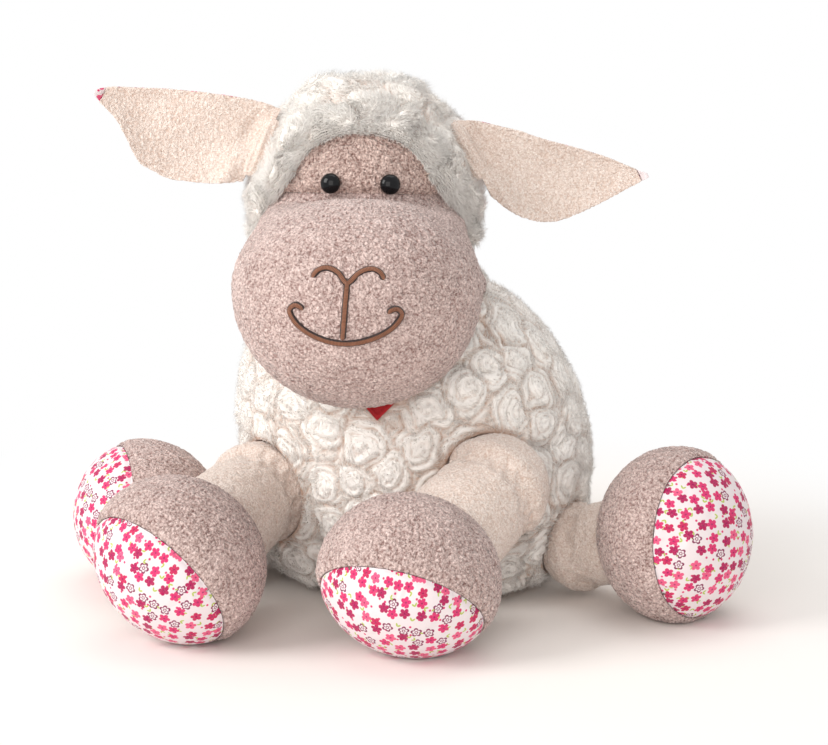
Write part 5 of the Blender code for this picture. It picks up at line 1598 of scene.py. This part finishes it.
@dataclass(frozen=True)
class FacePanels:
    """Taupe terry of the forehead and the muzzle, joined at the seam under the eyes."""

    muzzle_count: int = 270
    forehead_count: int = 170
    throat_gap: float = 0.014
    tuck: float = 0.0025
    behind: float = 0.45

    def muzzle_surface(self, directions: Array) -> Array:
        """Points where rays from behind the muzzle leave the head's form.

        A march along each ray finds the first point outside the form, and halving of the step places it.
        """
        start = HEAD.muzzle * self.behind

        def held(reach: Array) -> Array:
            """Whether the points at a reach are inside the head."""
            points = start + directions * reach[..., None]
            return np.linalg.norm(points, axis=-1) < HEAD.reach(unit(points)) - HEAD.panel_sink

        low = np.full(directions.shape[:-1], 0.012)
        going = np.ones(low.shape, bool)
        step = 0.0025
        for _ in range(48):
            going &= held(low + step)
            low = np.where(going, low + step, low)
        high = low + step
        for _ in range(10):
            middle = (low + high) / 2
            inside = held(middle)
            low, high = np.where(inside, middle, low), np.where(inside, high, middle)
        return start + directions * low[..., None]

    def off_chest(self, local: Array) -> Array:
        """Points of the chin's back moved level out of the chest's clearance, which hollows the throat.

        A point's distance from the body's axis is scaled until it has the clearance. Points on the ball stay.
        """
        world = HEAD.world(local)
        size, x, y = BODY.section(np.clip(world[..., 2] / BODY.height, 0, 1))
        axis = np.stack((x, y, world[..., 2]), axis=-1)
        size = size * (BODY.half_width + BODY.half_depth) / 2
        grown = np.maximum((size + self.throat_gap) / np.maximum(size + BODY.gap(world), 0.3 * size), 1.0)
        beyond = ease(0.0, 0.005, np.linalg.norm(local, axis=-1) - HEAD.ball + HEAD.panel_sink)
        moved = axis + (world - axis) * (1 + (grown - 1) * beyond)[..., None]
        return HEAD.local(moved)

    def filled(self, points: Array) -> Array:
        """Points of the muzzle moved out to its convex hull above the chin, so no valley is left beside it.

        The hull's support is the largest projection of the points on each of many directions. A ray meets the
        hull at the least of the supports over the ray's own projections.
        """
        start = HEAD.muzzle * self.behind
        away = (points - start).reshape(-1, 3)
        far = np.linalg.norm(away, axis=1)
        rays, reach = away / far[:, None], np.full(len(far), 1.0)
        count = 3600
        height = 1 - 2 * (np.arange(count) + 0.5) / count
        spin = np.arange(count) * math.pi * (3 - math.sqrt(5))
        wide = np.sqrt(1 - height**2)
        around = np.stack((wide * np.cos(spin), wide * np.sin(spin), height), axis=-1)
        for first in range(0, count, 600):
            part = around[first:first + 600]
            support = (away[::3] @ part.T).max(axis=0)
            facing = rays @ part.T
            met = np.where(facing > 0.05, support / np.maximum(facing, 0.05), 1.0)
            reach = np.minimum(reach, met.min(axis=1))
        share = 0.92 * ease(-0.062, -0.040, points[..., 2]) * ease(0.0006, 0.016, -HEAD.above_seam(points))
        moved = far + (np.maximum(reach, far) - far) * share.reshape(-1)
        return start + (rays * moved[:, None]).reshape(points.shape)

    def dress(self, name: str, node: str, local: Array, rim_distance: Array, finish: Finish, thickness: float,
              inner: Array) -> None:
        """Lay the terry on a panel and close it.

        Args:
            name: Name of the piece.
            node: Node that it stands for.
            local: Square grid of places in the head's frame.
            rim_distance: Distance of each place from the panel's border.
            finish: Finish of the terry.
            thickness: How far its rim turns in.
            inner: Point inside the head where it closes.
        """
        normals = grid_normals(local, HEAD.muzzle * (0.9 if node == "muzzle_panel" else 0.3))
        pile = TerryPile(loop=0.0020, seed=31).share(local)
        sink = self.tuck * (1 - ease(0.0, 0.004, rim_distance))
        points = local + normals * (pile * 0.0011 - 0.0004 - sink)[..., None]
        skin = Skin.patch(HEAD.world(points), normals @ HEAD.turn().T, pile, thickness, HEAD.world(inner))
        skin.piece(name, "head", finish, (node,), "taupe_terry", 0.9)

    def build(self) -> None:
        """Both panels."""
        muzzle = StarRegion(
            HEAD.axis(), self.muzzle_surface,
            lambda p: (HEAD.above_seam(p) < -0.0001) & (HEAD.edge_fall(p) > -0.05))
        coarse, _ = muzzle.grid(121)
        local = refined(self.off_chest(self.filled(coarse)), self.muzzle_count, self.muzzle_count)
        rim = np.abs(HEAD.above_seam(local))
        self.dress("muzzle_terry", "muzzle_panel", local, rim, Finish.TAUPE_TERRY, 0.0025,
                   HEAD.muzzle * self.behind)
        forehead = StarRegion(
            unit(np.array((0.0, -0.80, 0.60))),
            lambda rays: rays * (HEAD.reach(rays) - HEAD.panel_sink)[..., None],
            lambda p: (HEAD.above_seam(p) > 0.0001) & (HEAD.edge_fall(p) > -0.05))
        local, _ = forehead.grid(self.forehead_count)
        self.dress("forehead_terry", "forehead_panel", local, HEAD.above_seam(local), Finish.BROW_TERRY,
                   0.0025, np.array((0.0, -0.020, 0.020)))


@dataclass(frozen=True)
class Eyes:
    """Two glossy moulded eyes, pressed a little into the terry."""

    spacing: float = 0.0312
    above_seam: float = 0.0050
    radius: float = 0.0053
    dome: float = 0.0040
    seat: float = 0.0005
    shank: float = 0.012

    def build(self) -> None:
        """Each eye: a shank, a flat back, a rounded rim and a dome, turned about its outward direction."""
        scale = FACE_PLANE / (HEAD.ball - 0.003)
        up = self.above_seam * scale + math.tan(HEAD.seam_tilt) * FACE_PLANE
        for name, side in (("right", -1), ("left", 1)):
            place, normal = HEAD.face_point(side * self.spacing / 2 * scale, up)
            rim = self.seat + 0.0012
            falls = np.linspace(-0.9, math.pi / 2, 28)[:-1]
            radii = np.concatenate(((0.0013, 0.0013, 0.0030), self.radius * np.cos(falls)))
            depth = np.where(falls < 0, 0.0012, self.dome)
            back = self.seat - 0.0002
            heights = np.concatenate(((-self.shank, back, back), rim + depth * np.sin(falls)))
            turns = circle(56)
            turn = turned_to(normal)
            local = place + lathed(radii, heights, turns) @ turn.T
            poles = [HEAD.world(place + normal * height) for height in (-self.shank, rim + self.dome)]
            skin = Skin.tube(HEAD.world(local), 1.0, poles=poles)
            skin.piece(f"{name}_glossy_eye", "head", Finish.EYE, (f"{name}_eye",), "black_plastic")
            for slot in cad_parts[f"{name}_eye_washer"].material_slots:
                slot.material = Finish.WASHER.material()


@dataclass(frozen=True)
class Embroidery:
    """Curled nose with its stem, and the smile, in raised satin stitch."""

    width: float = 0.0033
    height: float = 0.0014
    thread: float = 0.0007
    line_x: float = -0.0023
    lean: float = 0.075
    notch_z: float = -0.0283
    nose_half_width: float = 0.0173
    nose_height: float = 0.0061
    nose: Table = ((0.0, 0.0), (0.29, 0.72), (0.60, 1.0), (0.86, 0.75), (1.0, 0.18))
    mouth_z: float = -0.0582
    mouth_half_width: float = 0.0270
    mouth_height: float = 0.0170
    mouth: Table = ((0.0, 0.0), (0.29, 0.05), (0.59, 0.20), (0.84, 0.43), (0.98, 0.69), (1.0, 0.86),
                    (0.91, 1.0), (0.80, 0.98), (0.75, 0.88))

    def on_line(self, wide: float, up: float) -> tuple[float, float]:
        """Place beside the face's own centre line, which leans a little."""
        return (self.line_x + self.lean * (up - self.notch_z) + wide, up)

    def mirrored(self, half: Table, wide: float, tall: float, low: float) -> list[tuple[float, float]]:
        """Knots from one side's end over the centre line to the other side's."""
        one = [(w * wide, low + h * tall) for w, h in half]
        return [self.on_line(*knot) for knot in [(-w, h) for w, h in one[:0:-1]] + one]

    def path(self, knots: list[tuple[float, float]], step: float) -> Array:
        """Evenly spaced points on Catmull-Rom cubics through knots."""
        line = np.array(knots)
        fine = cubic_weights(30 * len(line), len(line), False) @ line
        run = np.concatenate(([0], np.cumsum(np.linalg.norm(np.diff(fine, axis=0), axis=1))))
        even = np.linspace(0, run[-1], int(run[-1] / step) + 2)
        return np.column_stack([np.interp(even, run, fine[:, k]) for k in (0, 1)])

    def ribbon(self, line: Array) -> Skin:
        """Raised band along a line: a flattened half round whose top carries one ridge a thread."""
        found = [HEAD.face_point(across, up, 0.0003) for across, up in line]
        places, normals = np.array([p for p, _ in found]), np.array([n for _, n in found])
        steps = np.gradient(places, axis=0)
        run = np.concatenate(([0], np.cumsum(np.linalg.norm(np.diff(places, axis=0), axis=1))))
        side = unit(np.cross(normals, steps))
        ends = np.sqrt(np.clip(np.minimum(run, run[-1] - run) / (self.width * 0.45), 0.05, 1))
        turns = circle(20)
        across = rounded(np.cos(turns), 0.8)
        top = np.where(np.sin(turns) > 0, np.sin(turns) ** 0.8, 0.25 * np.sin(turns))
        ridge = 1 + 0.10 * np.sin(2 * math.pi * run[:, None] / self.thread + 1.3 * across[None, :])
        ragged = 1 + 0.05 * (LatticeNoise(81).at(places, 0.0016) - 0.5)[:, None]
        wide = (self.width / 2 * ends[:, None] * ragged * across[None, :])[..., None] * side[:, None, :]
        tall = (self.height * ends[:, None] * ridge * top[None, :])[..., None] * normals[:, None, :]
        points = HEAD.world(places[:, None, :] + wide + tall - normals[:, None, :] * 0.0004)
        cloth = np.stack(np.broadcast_arrays(run[:, None], across[None, :]), axis=-1)
        return Skin.tube(points, 1.0, cloth)

    def build(self) -> None:
        """Nose and mouth."""
        step = self.thread / 4
        curls = self.mirrored(self.nose, self.nose_half_width, self.nose_height, self.notch_z)
        ends = (self.notch_z + self.width / 4, self.mouth_z + self.width / 2)
        stem = [self.on_line(0.0, up) for up in ends]
        smile = self.mirrored(self.mouth, self.mouth_half_width, self.mouth_height, self.mouth_z)
        nose = Skin.joined([self.ribbon(self.path(curls, step)), self.ribbon(self.path(stem, step))])
        nose.piece("nose_satin_stitch", "head", Finish.THREAD, ("nose_stitching",), "brown_thread")
        mouth = self.ribbon(self.path(smile, step))
        mouth.piece("mouth_satin_stitch", "head", Finish.THREAD, ("mouth_stitching",), "brown_thread")


@dataclass(frozen=True)
class Ear:
    """One ear: terry in front, print behind, gathered at the root and turned up at the tip.

    The outline gives, as shares of the length, the way out from the hinge line, the upper and the lower edge.
    """

    side: str
    turn: float
    outline: tuple[tuple[float, float, float], ...]
    length: float = 0.105
    cup: float = 0.005
    half: float = 0.0013
    cotton: float = 0.0012
    root: tuple[float, float, float] = (0.0520, -0.0160, 0.0245)
    lean: float = math.radians(27.8)

    def on_head(self, points: Array) -> Array:
        """Points of the ear's hinge frame in the head's frame."""
        root = unit(np.array((self.turn * self.root[0], self.root[1], self.root[2]))) * (HEAD.ball + 0.0014)
        tilt = np.array(Matrix.Rotation(-self.turn * self.lean, 3, "Y"))
        return root + points @ tilt.T

    def world(self, points: Array) -> Array:
        """Points of the ear's hinge frame in the row frame."""
        return HEAD.world(self.on_head(points))

    def root_ends(self) -> Array:
        """Both ends of the line along which the ear is sewn on, in the head's frame."""
        return self.on_head(np.array(((0.0, 0.0, -0.017), (0.0, 0.0, 0.017))))

    def layer(self, rows: int, cols: int, start: float, end: float, middle: Callable[[Array], Array],
              half: float) -> tuple[Array, Array]:
        """Closed rings of one layer of the ear.

        Each ring goes round a flat section: its place across is the cosine of the turn, its thickness the
        sine raised to a small power, which leaves flat faces and rounded edges.

        Args:
            rows: Rings from the root to the tip.
            cols: Points round each.
            start: Way out of the first ring, as a share of the whole.
            end: Way out of the last.
            middle: Distance of the layer's middle behind the ear's, for shares of the way out.
            half: Half its thickness.

        Returns:
            Places in the hinge frame, and places on the cloth.
        """
        outline = np.array(self.outline)
        share = np.linspace(start, end, rows)[:, None]
        ways = share * outline[-1, 0]
        upper, lower = (smooth_table(outline[:, (0, k)], ways) for k in (1, 2))
        turns = circle(cols)[None, :]
        across = np.cos(turns)
        thick = rounded(np.sin(turns), 0.4)
        place = self.length * ((upper + lower) / 2 + across * (upper - lower) / 2)
        bowl = self.cup * (1 - across**2) * np.sin(math.pi * share)
        fold = 0.0035 * np.exp(-(((share - 0.10) / 0.05) ** 2)) * np.sin(3.0 * across + 0.6)
        ripple = 0.0012 * np.sin(9.0 * share + 2.0 * across)
        ripple = ripple * np.sin(math.pi * np.clip(share, 0, 1))
        behind = bowl + fold * 0.8 + ripple + middle(share) + half * thick
        out = self.turn * self.length * np.broadcast_to(ways, place.shape)
        points = np.stack((out, behind, place), axis=-1)
        return points, np.stack((np.abs(out), place), axis=-1)

    def build(self) -> None:
        """Terry layer, printed layer and the gathered root."""
        rows, cols = 150, 160
        local, cloth = self.layer(rows, cols, 0.0, 0.945, lambda s: 0 * s, self.half)
        points = self.world(local)
        normals = grid_normals(points, points.mean(axis=1, keepdims=True), True)
        pile = TerryPile(loop=0.0016, seed=43).share(points)
        points = points + normals * (pile * 0.0007 - 0.0003)[..., None]
        skin = Skin.tube(points, pile, cloth)
        turns = circle(96)[None, :]
        way = np.linspace(-1, 1, 70)[:, None]
        gather = 1 + 0.10 * np.sin(7 * turns + 4 * way) * np.sqrt(1 - 0.9 * way**2)
        round_root = 0.0041 * np.clip(1 - np.abs(way) ** 6, 0, 1) ** 0.5 * gather
        parts = (round_root * np.cos(turns), round_root * np.sin(turns), 0.0170 * way + 0 * turns)
        root = self.world(np.stack(parts, axis=-1))
        name = f"{self.side}_ear"
        ear = Skin.joined([skin, Skin.tube(root, 0.5)])
        ear.piece(f"{name}_terry_front", name, Finish.CREAM_TERRY, (f"{name}_terry",), "cream_terry", 0.1)
        gap = self.half + 0.0006
        local, cloth = self.layer(90, 80, 0.06, 1.0,
                                  lambda s: gap + self.cotton / 2 - (gap + 0.0030) * ease(0.92, 0.98, s),
                                  self.cotton / 2)
        lining = Skin.tube(self.world(local), 0.5, cloth)
        lining.piece(f"{name}_printed_lining", name, Finish.FLORAL, (f"{name}_lining",), "floral_cotton", 0.1)


EARS = (
    Ear("right", -1.0, (
        (0.0, 0.215, -0.195), (0.076, 0.205, -0.248), (0.238, 0.157, -0.330), (0.371, 0.107, -0.371),
        (0.486, 0.057, -0.370), (0.552, 0.029, -0.338), (0.619, -0.004, -0.288), (0.714, -0.051, -0.227),
        (0.800, -0.095, -0.200), (0.870, -0.143, -0.168))),
    Ear("left", 1.0, (
        (0.0, 0.167, -0.257), (0.048, 0.143, -0.362), (0.095, 0.119, -0.424), (0.171, 0.057, -0.490),
        (0.276, -0.033, -0.530), (0.371, -0.129, -0.536), (0.505, -0.248, -0.537), (0.629, -0.371, -0.533),
        (0.695, -0.450, -0.532), (0.750, -0.505, -0.528))),
)


@dataclass(frozen=True)
class NeckPadding:
    """Plug of filling in the neck opening, hidden between the body and the head."""

    radius: float = 0.0275
    depth: float = 0.0255

    def build(self) -> None:
        """Upright plug with a dished top that cradles the head's ball."""
        low = HEAD.centre[2] - HEAD.ball - self.depth
        rim = np.linspace(0.02, self.radius, 12)
        top = HEAD.centre[2] - np.sqrt((HEAD.ball + 0.0004) ** 2 - rim**2)
        radii = np.concatenate((rim, rim[::-1]))
        heights = np.concatenate((np.full(12, low), top[::-1]))
        points = lathed(radii, heights, circle(48)) + np.array((*HEAD.centre[:2], 0.0))
        Skin.tube(points).piece("neck_padding", "neck", Finish.FILLING, ("neck_filling",), "filling", 0.8)


# Studio

@dataclass(frozen=True)
class Studio:
    """Camera at the photograph's viewing angle, soft lamps and a plain pale floor."""

    camera_place: tuple[float, float, float] = (0.2621, -1.1111, 0.3210)
    looks_at: tuple[float, float, float] = (0.0, -0.060, 0.130)
    lens: float = 90.24
    shift: tuple[float, float] = (0.0260, -0.0120)
    lamps_face: tuple[float, float, float] = (0.0, -0.05, 0.12)
    floor_fade: tuple[float, float] = (0.16, 0.42)

    def add_camera(self) -> None:
        """Camera that frames the toy as the photograph does."""
        data = bpy.data.cameras.new("camera")
        data.lens, data.sensor_width = self.lens, 36.0
        data.shift_x, data.shift_y = self.shift
        data.clip_start, data.clip_end = 0.05, 20.0
        camera = added("camera", data)
        camera.location = self.camera_place
        sight = Vector(self.looks_at) - Vector(self.camera_place)
        camera.rotation_euler = sight.to_track_quat("-Z", "Y").to_euler()
        bpy.context.scene.camera = camera

    def add_lamp(self, name: str, place: tuple[float, float, float], size: float, power: float,
                 warmth: Colour) -> None:
        """Square lamp that faces the toy."""
        data = bpy.data.lights.new(name, "AREA")
        data.shape, data.size, data.energy, data.color = "SQUARE", size, power, warmth[:3]
        lamp = added(name, data)
        lamp.location = place
        lamp.rotation_euler = (Vector(self.lamps_face) - Vector(place)).to_track_quat("-Z", "Y").to_euler()

    def seen(self, tree: bpy.types.NodeTree) -> bpy.types.NodeSocket:
        """One for rays from the camera, a mirror or clear matter, else zero."""
        path = tree.nodes.new("ShaderNodeLightPath")
        total = path.outputs["Is Camera Ray"]
        for name in ("Is Glossy Ray", "Is Transmission Ray"):
            either = tree.nodes.new("ShaderNodeMath")
            either.operation = "MAXIMUM"
            tree.links.new(total, either.inputs[0])
            tree.links.new(path.outputs[name], either.inputs[1])
            total = either.outputs[0]
        return total

    def add_world(self) -> None:
        """White surroundings to the eye, and a soft dimmer light from all sides."""
        world = bpy.data.worlds.new("studio")
        bpy.context.scene.world = world
        world.use_nodes = True
        tree = world.node_tree
        plain = tree.nodes["Background"]
        plain.inputs["Color"].default_value = (1.0, 0.985, 0.97, 1.0)
        plain.inputs["Strength"].default_value = 0.60
        white = tree.nodes.new("ShaderNodeBackground")
        white.inputs["Strength"].default_value = 1.0
        white.inputs["Color"].default_value = (1.0, 1.0, 1.0, 1.0)
        either = tree.nodes.new("ShaderNodeMixShader")
        tree.links.new(self.seen(tree), either.inputs[0])
        tree.links.new(plain.outputs[0], either.inputs[1])
        tree.links.new(white.outputs[0], either.inputs[2])
        tree.links.new(either.outputs[0], tree.nodes["World Output"].inputs["Surface"])

    def add_floor(self) -> None:
        """Pale floor that keeps the toy's shadow and runs out to white."""
        mesh = bpy.data.meshes.new("floor")
        mesh.from_pydata([(-6, -6, 0), (6, -6, 0), (6, 6, 0), (-6, 6, 0)], [], [(0, 1, 2, 3)])
        floor = added("floor", mesh)
        shader = Shader("pale_floor")
        shader.surface.inputs["Base Color"].default_value = (0.93, 0.895, 0.865, 1.0)
        shader.set(roughness=1.0, specular_ior_level=0.0)
        white = shader.node("ShaderNodeEmission", None, {"Color": (1.0, 1.0, 1.0, 1.0), "Strength": 1.0})
        away = shader.value("ShaderNodeVectorMath", {"operation": "LENGTH"}, {0: shader.place()}, 1)
        far = ((away - self.floor_fade[0]) / (self.floor_fade[1] - self.floor_fade[0])).held()
        shown = far * far * (3.0 - 2.0 * far) * Value(shader, self.seen(shader.tree))
        either = shader.node("ShaderNodeMixShader", None,
                             {0: shown, 1: shader.surface.outputs[0], 2: white.outputs[0]})
        shader.feed(shader.tree.nodes["Material Output"].inputs["Surface"], either.outputs[0])
        mesh.materials.append(shader.material)

    def build(self) -> None:
        """Everything round the toy."""
        bpy.context.scene.view_settings.view_transform = "Standard"
        self.add_camera()
        self.add_lamp("key", (-1.50, -1.15, 1.20), 1.1, 28.0, tint(255, 253, 250))
        self.add_lamp("fill", (0.1, -2.0, 0.7), 1.4, 13.0, tint(255, 250, 246))
        self.add_lamp("top", (0.1, 0.5, 1.8), 1.4, 10.0, tint(255, 253, 250))
        self.add_world()
        self.add_floor()


def builders() -> Iterator[Any]:
    """The toy's sub-assemblies, in the order in which they are made."""
    yield from (BodyCover(), ClothTab(), NeckPadding(), Hood(), FacePanels(), Eyes(), Embroidery(), Tail())
    yield from LIMBS
    yield from EARS


def main() -> None:
    """Make the studio and every piece of the toy, and write how large it is."""
    logging.basicConfig(level=logging.INFO, format="%(name)s %(message)s")
    Studio().build()
    for builder in builders():
        builder.build()


if __name__ == "__main__":
    main()
